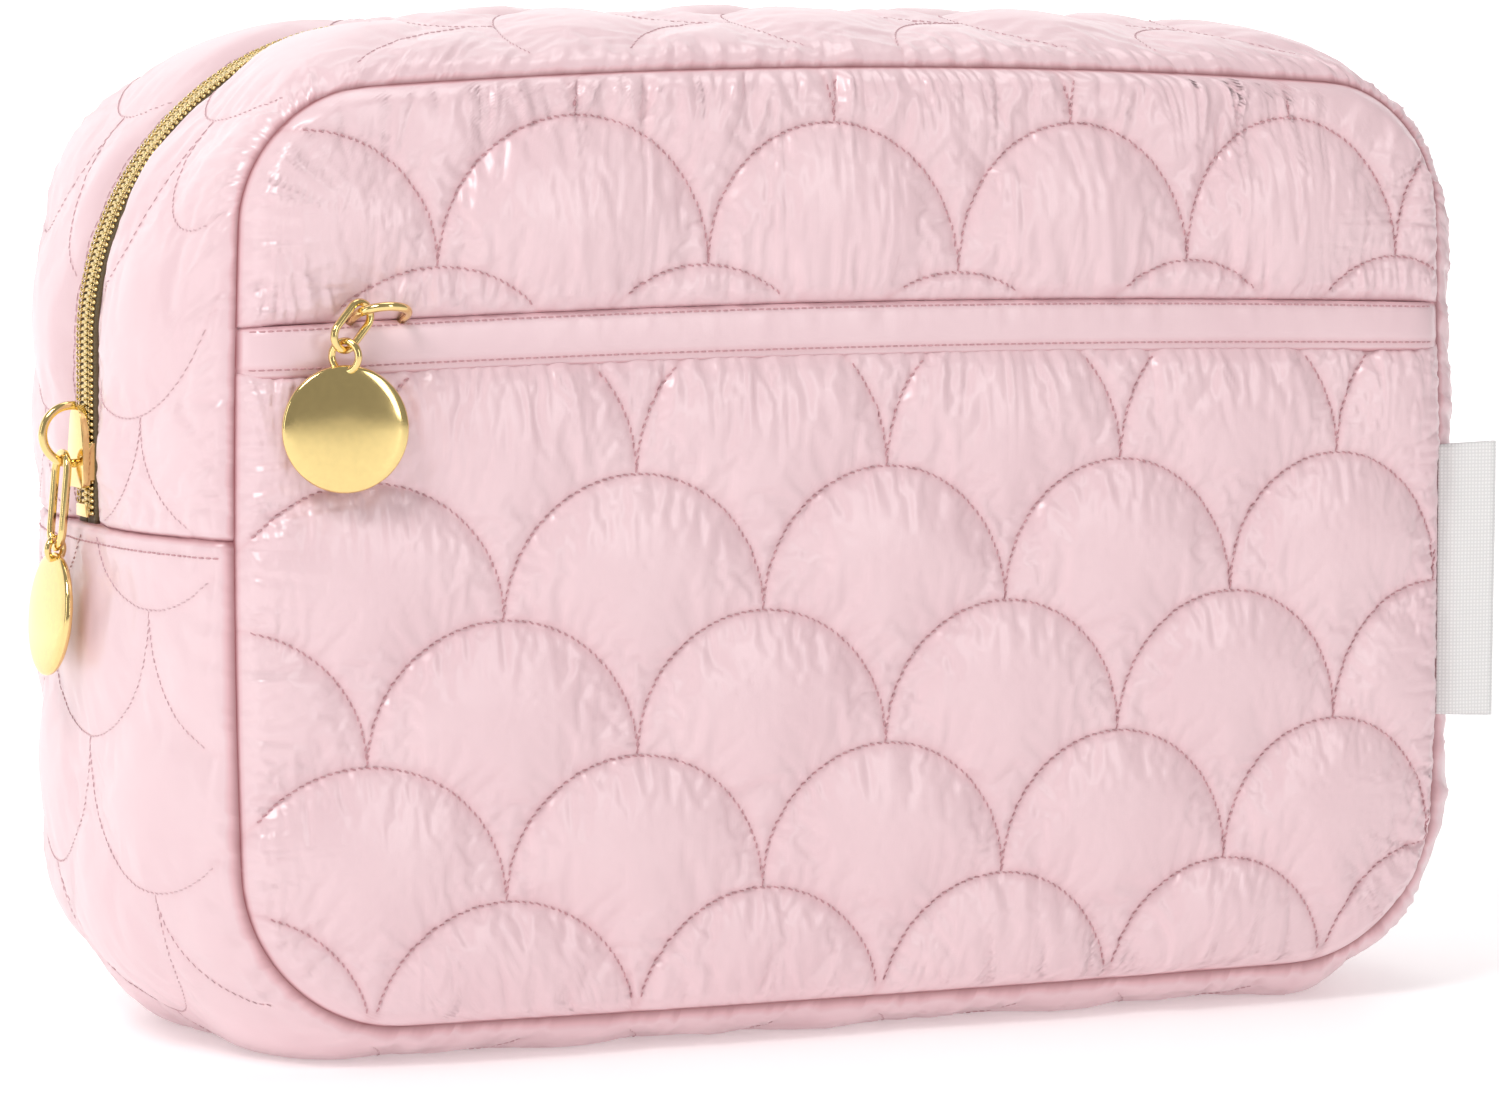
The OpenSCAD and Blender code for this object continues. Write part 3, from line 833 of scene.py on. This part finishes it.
def gusset_threads(name, place, s0, s1, h0, h1, edge):
    """Quilting threads of the gusset between two distances round the bag and two depths."""
    starts, ends = [], []
    for line in scallop_lines(-SEAM_Y, SEAM_Y, s0, s1, *GUSSET_REF[s0 > 0]):
        h, s = line.T
        keep = (h > h0 + edge) & (h < h1 - edge) & (s > s0 + 1) & (s < s1 - 1)
        for part in stretches(line, keep):
            a, b = stitch_row(place, part, wiggle=0.1)
            starts.append(a)
            ends.append(b)
    return capsules(name, np.concatenate(starts), np.concatenate(ends), FINE_THREAD_R, PALE_THREAD)


def topstitch(name, rows, place, radius, material):
    """One mesh of straight rows of stitches, along lines of 2-D points."""
    starts, ends = zip(*[stitch_row(place, row, 0.25, 0.0) for row in rows])
    return capsules(name, np.concatenate(starts), np.concatenate(ends), radius, material)


def gusset_piece(name, s, h, split, seed, fine):
    """A quilted piece of the gusset, and a function from depth and run to a point on it."""
    outer, crease_shade, s, h = gusset_sheet(s, h, split, seed, fine)
    uu, hh = np.meshgrid(u_at_run(s), h, indexing="ij")
    depth = 0.1 - 1.6 * smooth(abs(hh), 11.0, 16.0) if split else -2.2 + 0 * hh
    inner = settle(gusset_base(uu, hh) + gusset_normal(uu, hh) * depth[..., None])
    at = lookup(outer, s, h)

    def place(a, b):
        point = at(b, a)
        away = (point - [0.0, 0.0, 85.0]) * [1.0, 0.0, 1.0]
        return point + 0.08 * away / np.linalg.norm(away, axis=-1, keepdims=True)
    return shell(name, outer[:, ::-1], inner[:, ::-1], NYLON, crease_shade[:, ::-1]), place


def round_steps(u1, pitch):
    """Values of u from u1 on the left, under the bag, to u1 on the right."""
    return np.concatenate([u_steps(12 - u1, 12, pitch)[:-1], u_steps(0, u1, pitch)])


def u_at(z):
    """u on the right side, above the joint, where the seam is at height z."""
    u = np.linspace(3, 4, 200)
    return float(np.interp(z, path(u, SEAM)[1], u))


def around_gusset(name, u, h, lift, thick, seed, material, ripple=0.35):
    """A thin layer that follows the gusset at a height lift over its smooth surface."""
    uu, hh = np.meshgrid(u, h, indexing="ij")
    base, n = gusset_base(uu, hh), gusset_normal(uu, hh)
    s = np.interp(uu, U_TABLE, S_TABLE)
    wave = ripple * noise2(s / 11.0, (hh + 60) / 8.0, seed)
    wave = wave + 0.4 * ripple * noise2(s / 4.0, (hh + 60) / 5.0, seed + 1)
    outer = settle(base + n * (lift + wave)[..., None])
    inner = base + n * (lift + wave - thick)[..., None]
    return shell(name, outer[:, ::-1], inner[:, ::-1], material)


def flat_layer(name, y, thick, low, high, inset, seed, ripple, puff=0.0):
    """A layer across the bag at depth y, inset from the seams and rippled as cloth is."""
    z = np.linspace(low, high, int((high - low) / 2.5))
    t = np.linspace(-1, 1, 90)
    zz, tt = np.meshgrid(z, t, indexing="ij")
    inside = np.clip(zz, SEAM["low"] + inset, SEAM["top"] - inset)
    xx = tt * (half_width(inside) - inset)
    xx, zz = warp(xx, zz, SEAM)
    wave = ripple * noise2((xx + 130) / 16.0, zz / 12.0, seed)
    wave = wave + 0.4 * ripple * noise2((xx + 130) / 5.0, zz / 9.0, seed + 1)
    swell = puff * (1 - np.abs(tt) ** 6) * smooth(high - zz, 0, 6)
    outer = np.stack([xx, y - thick / 2 - wave - swell, zz], -1)
    inner = np.stack([xx, y + thick / 2 - wave + swell, zz], -1)
    return shell(name, outer, inner, LINING)


def sheet(piece, length):
    """Returns a piece, a sheet that was cut to width and length, unchanged. length is not used."""
    return piece


def binding(name, u, y, inset):
    """A folded tape that runs inside a seam, inset from it."""
    x, z = path(u, SEAM)
    tx, tz = np.gradient(x), np.gradient(z)
    size = np.hypot(tx, tz)
    nx, nz = tz / size, -tx / size
    turn = np.arange(8) * math.pi / 4
    depth = -inset + 1.9 * np.cos(turn)
    px = x[:, None] + nx[:, None] * depth
    pz = z[:, None] + nz[:, None] * depth
    py = y + 0.7 * np.sin(turn)[None] + 0 * px
    return tubes(name, np.stack([px, py, pz], -1)[None], TAPE)


# ---- zipper teeth ----

# one wound tooth: how far across each ring of it lies, and the ring's radius
TOOTH = ((-0.28, 0.16), (-0.05, 0.42), (0.55, 0.56), (1.05, 0.40), (1.75, 0.42), (2.35, 0.56), (2.85, 0.22))
TOOTH_PITCH = 1.08
COIL_LIFT = 1.0                                         # from the smooth gusset out to the teeth


def coil_teeth(name, place, tangent, out, across, material, reach, size):
    """Rows of wound teeth: place, tangent and out are one row each per tooth."""
    turn = np.arange(6) * math.pi / 3
    rings = []
    for y, r in TOOTH:
        y, r = y * reach, r * size
        centre = place + across * y + tangent * (0.11 * y)
        rings.append(centre[:, None] + 0.85 * r * np.cos(turn)[None, :, None] * tangent[:, None]
                     + r * np.sin(turn)[None, :, None] * out[:, None])
    return tubes(name, np.stack(rings, 1), material)


def zip_frames(shift):
    """Places, tangents and outward directions of the main zipper's teeth."""
    u = np.linspace(3, 9, 3001)
    line = gusset_base(u, 0 * u)
    run = np.concatenate([[0], np.cumsum(np.linalg.norm(np.diff(line, axis=0), axis=1))])
    count = int((run[-1] - 1) / TOOTH_PITCH)
    at = np.interp(0.6 + (np.arange(count) + shift) * TOOTH_PITCH, run, u)
    place = gusset_base(at, 0 * at)
    tangent = gusset_base(at + 0.003, 0 * at) - gusset_base(at - 0.003, 0 * at)
    tangent /= np.linalg.norm(tangent, axis=1, keepdims=True)
    out = gusset_normal(at, 0 * at + 1e-3)
    out[:, 1] = 0
    out /= np.linalg.norm(out, axis=1, keepdims=True)
    return place + out * COIL_LIFT, tangent, out


ARCH = np.linspace(JOINT_S, TOTAL - JOINT_S, int((TOTAL - 2 * JOINT_S) / ROUGH))
CROSS = u_at(FOLD_Z)
TAPE_EDGES = (0.35, 12.6)                               # depths of the main zipper tapes' edges
ARCH_EDGES = (6.0, SEAM_Y - LINING_EDGE)                # and of the arch linings'


def bent(piece, side, slot_name, nodes=(), fill=None):
    """A soft piece of a side, which on the bag bends at the flap's fold; here it is baked in place and not
    bent.
    """
    soft(piece, "root", slot_name, nodes, fill, f"{side}_flap", SIDE_BEND)


def depths(way, near, far, count):
    """Rising depths from near to far, in front of the zipper line or behind it."""
    return np.linspace(*sorted([way * near, way * far]), count)


base, on_base = gusset_piece("base_gusset_quilted", np.linspace(-JOINT_S, JOINT_S, int(2 * JOINT_S / ROUGH)),
                             np.linspace(-SEAM_Y, SEAM_Y, int(2 * SEAM_Y / ROUGH)), False, 500, False)
soft(base, "root", "quilted_nylon", ["base_gusset"], 0.5)
rows = [np.stack([np.linspace(-SEAM_Y + 1.5, SEAM_Y - 1.5, 80), np.full(80, run)], 1)
        for run in (JOINT_STITCH - JOINT_S, JOINT_S - JOINT_STITCH)]
for piece in (gusset_threads("base_gusset_stitching", on_base, -JOINT_S, JOINT_S, -SEAM_Y, SEAM_Y, 2.5),
              topstitch("joint_topstitch", rows, on_base, 0.16, THREAD)):
    soft(piece, "root", "quilted_nylon")

for way, side in ((-1, "front"), (1, "back")):
    fine = FULL and way < 0
    h = depths(way, LIP_Y, SEAM_Y, int((SEAM_Y - LIP_Y) / ROUGH))
    strip, on_strip = gusset_piece(f"{side}_zip_gusset_quilted", ARCH, h, True, 520 + way, fine)
    bent(strip, side, "quilted_nylon", [f"{side}_gusset_sides", f"{side}_gusset_arch"], 0.5)
    threads = gusset_threads(f"{side}_zip_gusset_stitching", on_strip, JOINT_S, TOTAL - JOINT_S,
                             h[0], h[-1], 3.2)
    bent(threads, side, "quilted_nylon")
    line = np.linspace(JOINT_S + 1, TOTAL - JOINT_S - 1, 600)
    line = np.stack([np.full(600, way * (LIP_Y + LIP_STITCH)), line], 1)
    bent(topstitch(f"{side}_lip_topstitch", [line], on_strip, 0.11, PALE_THREAD), side, "quilted_nylon")
    tape = around_gusset(f"{side}_zipper_tape", u_steps(3, 9, 2.0), depths(way, *TAPE_EDGES, 8),
                         -0.05, 0.55, 60, TAPE, 0.0)
    bent(sheet(tape, TOTAL - 2 * JOINT_S), side, "woven_tape",
         [f"{side}_tape_ends", f"{side}_zip_tape"])
    spot, tangent, out = zip_frames(0.0 if way < 0 else 0.5)
    across = np.array([0.0, way, 0.0])
    teeth = coil_teeth(f"{side}_coil_teeth", spot, tangent, out, across, GOLD_COIL, 1.36, 1.04)
    bent(teeth, side, "gold_coil", [f"{side}_coil_ends", f"{side}_zip_coil"])
    # the dark core shows between the teeth as painted shade
    core_painted_shade = around_gusset(f"{side}_coil_core_painted_shade", u_steps(3, 9, 1.5), depths(way, 0.2, LIP_Y + 0.4, 6),
                         COIL_LIFT - 0.2, 0.75, 62, CORE_PAINTED_SHADE, 0.0)
    bent(core_painted_shade, side, "gold_coil")
    for k, (y, lift) in enumerate(((1.95, 0.46), (3.15, 0.54))):
        centre = spot + out * lift + across * y
        half = tangent * 0.44
        threads = capsules(f"{side}_coil_thread_{k}", centre - half, centre + half, 0.17, GOLD_COIL)
        bent(threads, side, "gold_coil")
    cloth = around_gusset(f"{side}_arch_lining_cloth", u_steps(3, 9, COARSE), depths(way, *ARCH_EDGES, 24),
                          -2.3, 0.5, 70 + way, LINING)
    bent(sheet(cloth, TOTAL - 2 * JOINT_S), side, "lining",
         [f"{side}_arch_lining"])
    arch_u = u_steps(CROSS + 0.01, 12 - CROSS - 0.01, COARSE)
    piece = binding(f"{side}_arch_binding_tape", arch_u, way * (SEAM_Y - 1.6), 5.2)
    soft(piece, f"{side}_flap", "woven_tape", [f"{side}_arch_binding"])

half_base = SEAM_Y - LINING_EDGE
cloth = around_gusset("base_lining_cloth", round_steps(3, COARSE), np.linspace(-half_base, half_base, 44),
                      -3.0, 0.5, 80, LINING)
soft(sheet(cloth, 2 * JOINT_S), "root", "lining", ["base_gusset_lining"])
for side, y, inset in (("front", -34.6, 5.2), ("back", SEAM_Y - 2.4, 5.4)):
    piece = binding(f"{side}_seam_binding_tape", round_steps(CROSS, COARSE), y, inset)
    soft(piece, "root", "woven_tape", [f"{side}_seam_binding"])

LAYER_LOW = SEAM["low"] + 5
LAYER_TOP = SEAM["top"] - 6
UNDER_FOLD = FOLD_Z - 0.6
POCKET_LINING_TOP = 109.0
for name, y, thick, low, high, inset, seed, ripple, body, nodes in (
        ("pocket_front_lining", -44.9, 0.5, LAYER_LOW, POCKET_LINING_TOP, 5.5, 95, 0.15, "root",
         ["pocket_lining_front"]),
        ("pocket_back_lining", -40.1, 0.4, LAYER_LOW, UNDER_FOLD, 4.5, 94, 0.15, "root",
         ["pocket_lining_back"]),
        ("front_lining", -36.5, 0.4, LAYER_LOW, UNDER_FOLD, 4.5, 94, 0.15, "root", ["front_lining"]),
        ("upper_front_lining", -44.6, 0.5, FOLD_Z + 0.4, LAYER_TOP, 6.0, 94, 0.3, "front_flap",
         ["front_lining_upper"]),
        ("back_lining", 44.4, 0.5, LAYER_LOW, LAYER_TOP, 6.0, 95, 0.35, "root",
         ["back_lining_lower", "back_lining_upper"])):
    cloth = flat_layer(f"{name}_cloth", y, thick, low, high, inset, seed, ripple)
    sheet(cloth, high - min(low, FOLD_Z))
    soft(cloth, body, "lining", nodes, None, *(BACK_BEND if name == "back_lining" else ()))
divider = flat_layer("divider_padded", -38.2, 2.2, LAYER_LOW, UNDER_FOLD, 4.8, 92, 0.12, 0.15)
soft(divider, "root", "padding", ["front_divider"], 0.3)


# ---- the welt over the pocket zipper ----

WELT_ROWS = (WELT_BOTTOM + 1.7, WELT_TOP - 0.7)         # heights of its rows of stitches


def welt_surface(x, z, lift=0.0):
    """Points of the welt and their painted shade for creases; lift puts them further out."""
    edge = np.maximum(edge_of_panel(x, z)[0], 0)
    top, bottom, row = WELT_TOP - z, z - WELT_BOTTOM, z - WELT_ROWS[0]
    bulge = np.sin(np.clip(bottom / (WELT_TOP - WELT_BOTTOM), 0, 1) * math.pi)
    top, bottom = np.maximum(top, 0), np.maximum(bottom, 0)
    height = (4.9 + 0.3 * bulge) * (1 - fade(edge, 3.2))
    height -= 0.8 * fade(top, 0.5) + 0.9 * fade(bottom, 0.4)
    height += 0.40 * pucker(x + 300, top, 301, 3.2)
    height += 0.30 * pucker(x + 400, abs(row), 311, 2.2) - 0.30 * bell(row, 0.5)
    # painted shade: darkens the welt's top and bottom folds, its lower stitch row and the seam
    crease_shade = 0.3 * bell(top, 0.3) + 0.8 * fade(bottom, 0.3) + 0.25 * bell(row, 0.4) + bell(edge, 0.4)
    px, pz = warp(x, z, SEAM)
    return np.stack([px, -(SEAM_Y + height + lift), pz], -1), np.clip(crease_shade, 0, 1)


def welt():
    """The folded strip over the pocket's zipper."""
    z = np.linspace(WELT_BOTTOM, WELT_TOP, int((WELT_TOP - WELT_BOTTOM) / (FINE * 0.75)))
    t = np.linspace(-1, 1, int(2 * SEAM["w"] / FINE))
    zz, tt = np.meshgrid(z, t, indexing="ij")
    xx = tt * half_width(zz)
    outer, crease_shade = welt_surface(xx, zz)
    inner = outer.copy()
    inner[..., 1] = -(SEAM_Y + 1.6 * (1 - fade((1 - abs(tt)) * SEAM["w"], 3)) - 0.3)
    return shell("pocket_welt_folded", outer, inner, NYLON, crease_shade)


soft(welt(), "root", "quilted_nylon", ["pocket_welt"], 0.3)
line = np.linspace(-SEAM["w"] + 1.5, SEAM["w"] - 1.5, 500)
rows = [np.stack([line, np.full(500, z)], 1) for z in WELT_ROWS]
piece = topstitch("welt_topstitch", rows, lambda a, b: welt_surface(a, b, 0.08)[0], THREAD_R, THREAD)
soft(piece, "root", "quilted_nylon")

for part, way in (("lower", -1), ("upper", 1)):
    low, high = span(f"pocket_coil_{part}")
    count = int(high[0] - low[0])
    x = low[0] + 0.6 + np.arange(count) + (0.5 if way > 0 else 0)
    middle = (span("pocket_coil_lower")[1][2] + span("pocket_coil_upper")[0][2]) / 2
    spot = np.stack([x, 0 * x + low[1] + 0.9, 0 * x + middle], 1)
    along_x, outward = np.tile([1.0, 0, 0], (count, 1)), np.tile([0, -1.0, 0], (count, 1))
    piece = coil_teeth(f"pocket_coil_{part}_teeth", spot, along_x, outward, np.array([0, 0, way * 1.0]),
                       PINK_COIL, 0.78, 0.78)
    soft(piece, "root", "pink_coil", [f"pocket_coil_{part}"])


# ---- metal pieces ----

DISC_THICK = 3.0


def polished(name, radius):
    """A CAD metal piece with its edges rounded over, as cast and plated metal is."""
    mesh = frame["nodes"][name].data.copy()
    work = bmesh.new()
    work.from_mesh(mesh)
    bmesh.ops.remove_doubles(work, verts=work.verts, dist=1e-6)
    bmesh.ops.dissolve_limit(work, angle_limit=math.radians(1), verts=work.verts, edges=work.edges)
    if radius:
        sharp = [e for e in work.edges
                 if len(e.link_faces) == 2 and e.calc_face_angle(0) > math.radians(35)]
        bmesh.ops.bevel(work, geom=sharp, offset=radius * MM, segments=2, profile=0.6, affect="EDGES",
                        clamp_overlap=True)
    bmesh.ops.triangulate(work, faces=[f for f in work.faces if len(f.verts) > 4])
    work.to_mesh(mesh)
    work.free()
    mesh.materials.clear()
    mesh.materials.append(GOLD)
    mesh.polygons.foreach_set("use_smooth", np.ones(len(mesh.polygons), bool))
    mesh.set_sharp_from_angle(angle=math.radians(40))
    piece = bpy.data.objects.new(f"{name}_plated", mesh)
    bpy.context.collection.objects.link(piece)
    return piece


def disc_profile(r, t):
    """Radius and height of a domed disc with a rounded rim, from its middle to the rim and back."""
    rim = 0.75
    dome = t / 2 - rim
    front = [(r * k / 16, rim + dome * (1 - (k / 16) ** 2.4)) for k in range(15)]
    turn = np.linspace(math.pi / 2 - 0.25, -math.pi / 2 + 0.25, 12)
    edge = [(r - rim + rim * math.cos(a), rim * math.sin(a)) for a in turn]
    return front + edge + [(radius, -height) for radius, height in front[::-1]]


def flat_frame(points):
    """Normal of a flat set of points, its level in-plane direction, and its upward in-plane direction."""
    normal = np.linalg.svd(points - points.mean(0), full_matrices=False)[2][2]
    normal *= np.sign(normal[np.argmax(abs(normal))])
    level = np.cross(normal, [0, 0, 1.0])
    level /= np.linalg.norm(level)
    return normal, level, np.cross(level, normal)


def reach_along(points, way):
    """How far points reach along a direction, lowest and highest."""
    run = points @ way
    return run.min(), run.max()


def turned(rows, centre, normal, level, up, turns, closed=False):
    """Points and faces of a surface of revolution: rows of radius and height about the normal."""
    a = np.arange(turns) * 2 * math.pi / turns
    spokes = np.cos(a)[:, None] * level + np.sin(a)[:, None] * up
    verts = np.concatenate([centre + normal * height + spokes * radius for radius, height in rows])
    i, j = np.meshgrid(np.arange(len(rows) - (not closed)), np.arange(turns), indexing="ij")
    here, after, side = i * turns, (i + 1) % len(rows) * turns, (j + 1) % turns
    quads = np.stack([here + j, after + j, after + side, here + side], -1).reshape(-1, 4)
    return verts, quads


def disc_pull(name, source):
    """A domed disc with its ring, where and as the CAD disc hangs."""
    node_of = frame["nodes"][source]
    points = np.array([node_of.matrix_world @ v.co for v in node_of.data.vertices]) / MM
    low, high = points[:, 2].min(), points[:, 2].max()
    face = points[points[:, 2] < low + 0.55 * (high - low)]
    normal, level, up = flat_frame(face)
    a, b = reach_along(points, level)
    c, d = reach_along(face, normal)
    r = (b - a) / 2
    bottom = reach_along(points, up)[0]
    centre = level * (a + b) / 2 + normal * (c + d) / 2 + up * (bottom + r)
    verts, faces = turned(disc_profile(r, DISC_THICK), centre, normal, level, up, 96)
    loop = points[(points - centre) @ up > r + 0.25]
    ring_normal, ring_level, ring_up = flat_frame(loop)
    a, b = reach_along(loop, ring_level)
    c, d = reach_along(loop, ring_normal)
    wire = (d - c) / 2
    ring_top = reach_along(loop, ring_up)[1]
    middle = ring_level * (a + b) / 2 + ring_normal * (c + d) / 2 + ring_up * (ring_top - (b - a) / 2)
    turn = np.arange(12) * math.pi / 6
    rows = np.stack([(b - a) / 2 - wire + wire * np.cos(turn), wire * np.sin(turn)], 1)
    more, quads = turned(rows, middle, ring_normal, ring_level, ring_up, 40, True)
    faces = np.concatenate([faces, quads + len(verts)]).tolist()
    piece = add_mesh(name, np.concatenate([verts, more]), faces, GOLD)
    work = bmesh.new()
    work.from_mesh(piece.data)
    bmesh.ops.remove_doubles(work, verts=work.verts, dist=1e-7)
    bmesh.ops.recalc_face_normals(work, faces=work.faces)
    work.to_mesh(piece.data)
    work.free()
    return piece


# each metal node's body, and how far its edges are rounded
METAL = {"main_slider_body": ("main_slider", 0.35), "main_slider_bridge": ("main_slider", 0),
         "main_pull_link": ("main_link", 0), "pocket_slider_body": ("pocket_slider", 0.3),
         "pocket_slider_bridge": ("pocket_slider", 0), "pocket_pull_link": ("pocket_link", 0),
         "main_end_stops": ("root", 0.15), "pocket_end_stops": ("root", 0.08)}
for name, (body, radius) in METAL.items():
    soft(polished(name, radius), body, "gold_metal", [name])
for zipper in ("main", "pocket"):
    source = f"{zipper}_pull_disc"
    soft(disc_pull(f"{zipper}_disc_domed", source), f"{zipper}_disc", "gold_metal", [source])
for part in ("lower", "upper"):
    mesh = frame["nodes"][f"pocket_tape_{part}"].data
    mesh.materials.clear()
    mesh.materials.append(TAPE)


# ---- the side tag ----

def side_tag():
    """A ribbon folded double, its fold outward, with a slight wave. It starts in the seam."""
    width, thick = TAG_HIGH[0] - TAG_LOW[0], 0.45
    x0, y0 = TAG_LOW[0] - 1.6, -SEAM_Y - 0.1
    fold, gap = width - 0.8, 0.75
    z = np.linspace(TAG_LOW[2] + 1.2, TAG_HIGH[2], 60)
    out = np.linspace(0, fold, 22)
    turn = np.linspace(-math.pi / 2, math.pi / 2, 9)
    loop_x = np.concatenate([out, fold + gap * np.cos(turn), out[::-1]])
    loop_y = np.concatenate([-gap + 0 * out, gap * np.sin(turn), gap + 0 * out])
    loop_y *= np.clip(loop_x / 3.0, 0.25, 1)
    zz, lx = np.meshgrid(z, loop_x, indexing="ij")
    ly = np.tile(loop_y, (len(z), 1))
    share = lx / width
    sway = -0.10 * lx + 0.35 * noise2(zz / 17.0 + 3, lx / 9.0, 401) * share + 0.25 * np.sin(zz / 21.0) * share
    outer = np.stack([x0 + lx, y0 + ly + sway, zz + 0.012 * lx * (zz - z.mean()) / 6.0], -1)
    inner = outer.copy()
    inner[..., 0] -= np.where(lx > fold, thick, 0)
    inner[..., 1] = np.where(abs(ly) < 0.2, y0 + sway, inner[..., 1] - np.sign(ly) * thick)
    return shell("side_tag_ribbon", outer, inner, RIBBON)


tag = sheet(side_tag(), 2 * (TAG_HIGH[0] - TAG_LOW[0]) + 1)
soft(tag, "side_tag", "ribbon", ["side_tag"])


# ---- floor, light and camera ----

def floor():
    """A pale floor that sweeps up behind the bag, and glows as painted light, more the further back it lies.
    """
    turn = np.linspace(0.15, math.pi / 2, 12)
    sweep = [(1000 + 500 * math.sin(a), 500 - 500 * math.cos(a)) for a in turn]
    profile = [(-4000, 0), (700, 0), (1000, 0), *sweep, (1500, 2200)]
    verts = [(x, y, z) for y, z in profile for x in (-4000, 4000)]
    m, tree, shader, coords = material("floor", (0.93, 0.925, 0.925), 0.55)
    ramp(tree, noise_node(tree, coords, 3.0), [(0.3, (0.915, 0.91, 0.91)), (0.7, (0.94, 0.935, 0.935))],
         shader.inputs["Base Color"])
    # painted light: the floor glows white, weakest in front of the bag and stronger further back
    shader.inputs["Emission Color"].default_value = (1, 0.99, 0.99, 1)
    deep = node(tree, "ShaderNodeSeparateXYZ")
    tree.links.new(coords, deep.inputs["Vector"])
    range_of(tree, deep.outputs["Y"], 0.24, 0.62, shader.inputs["Emission Strength"])
    add_mesh("floor", verts, grid_faces(len(profile), 2), m)


def area_light(name, place, target, size, power):
    light = bpy.data.lights.new(name, "AREA")
    light.shape = "RECTANGLE"
    light.size, light.size_y = size
    light.energy = power
    lamp = bpy.data.objects.new(name, light)
    lamp.location = place
    lamp.rotation_euler = (Vector(target) - Vector(place)).to_track_quat("-Z", "Y").to_euler()
    bpy.context.collection.objects.link(lamp)


def camera():
    azimuth, pitch, distance = math.radians(24.1), math.radians(4.9), 1.1
    aim = Vector((0, 0, 0.0802))
    level = math.cos(pitch)
    forward = Vector((math.sin(azimuth) * level, math.cos(azimuth) * level, -math.sin(pitch)))
    data = bpy.data.cameras.new("camera")
    data.lens = 148.4
    data.sensor_width = 36
    data.clip_start = 0.01
    cam = bpy.data.objects.new("camera", data)
    cam.location = aim - forward * distance
    cam.rotation_euler = (math.pi / 2 - pitch, 0, -azimuth)
    bpy.context.collection.objects.link(cam)
    bpy.context.scene.camera = cam


def world():
    w = bpy.data.worlds.new("studio")
    bpy.context.scene.world = w
    w.use_nodes = True
    set_inputs(w.node_tree.nodes["Background"], {"Color": (1, 0.985, 0.985, 1), "Strength": 0.33})


floor()
world()
area_light("key", (-0.75, -0.55, 1.05), (0, 0, 0.08), (0.42, 0.42), 7.1)
area_light("front", (0.45, -1.5, 0.55), (-0.03, 0, 0.09), (0.3, 0.9), 3.4)
area_light("left", (-1.5, -0.35, 0.35), (-0.1, 0, 0.08), (0.16, 0.9), 1.7)
area_light("top", (0.2, 0.1, 1.5), (0, 0, 0.1), (0.9, 0.7), 4.6)
camera()
bpy.context.scene.view_settings.view_transform = "Standard"
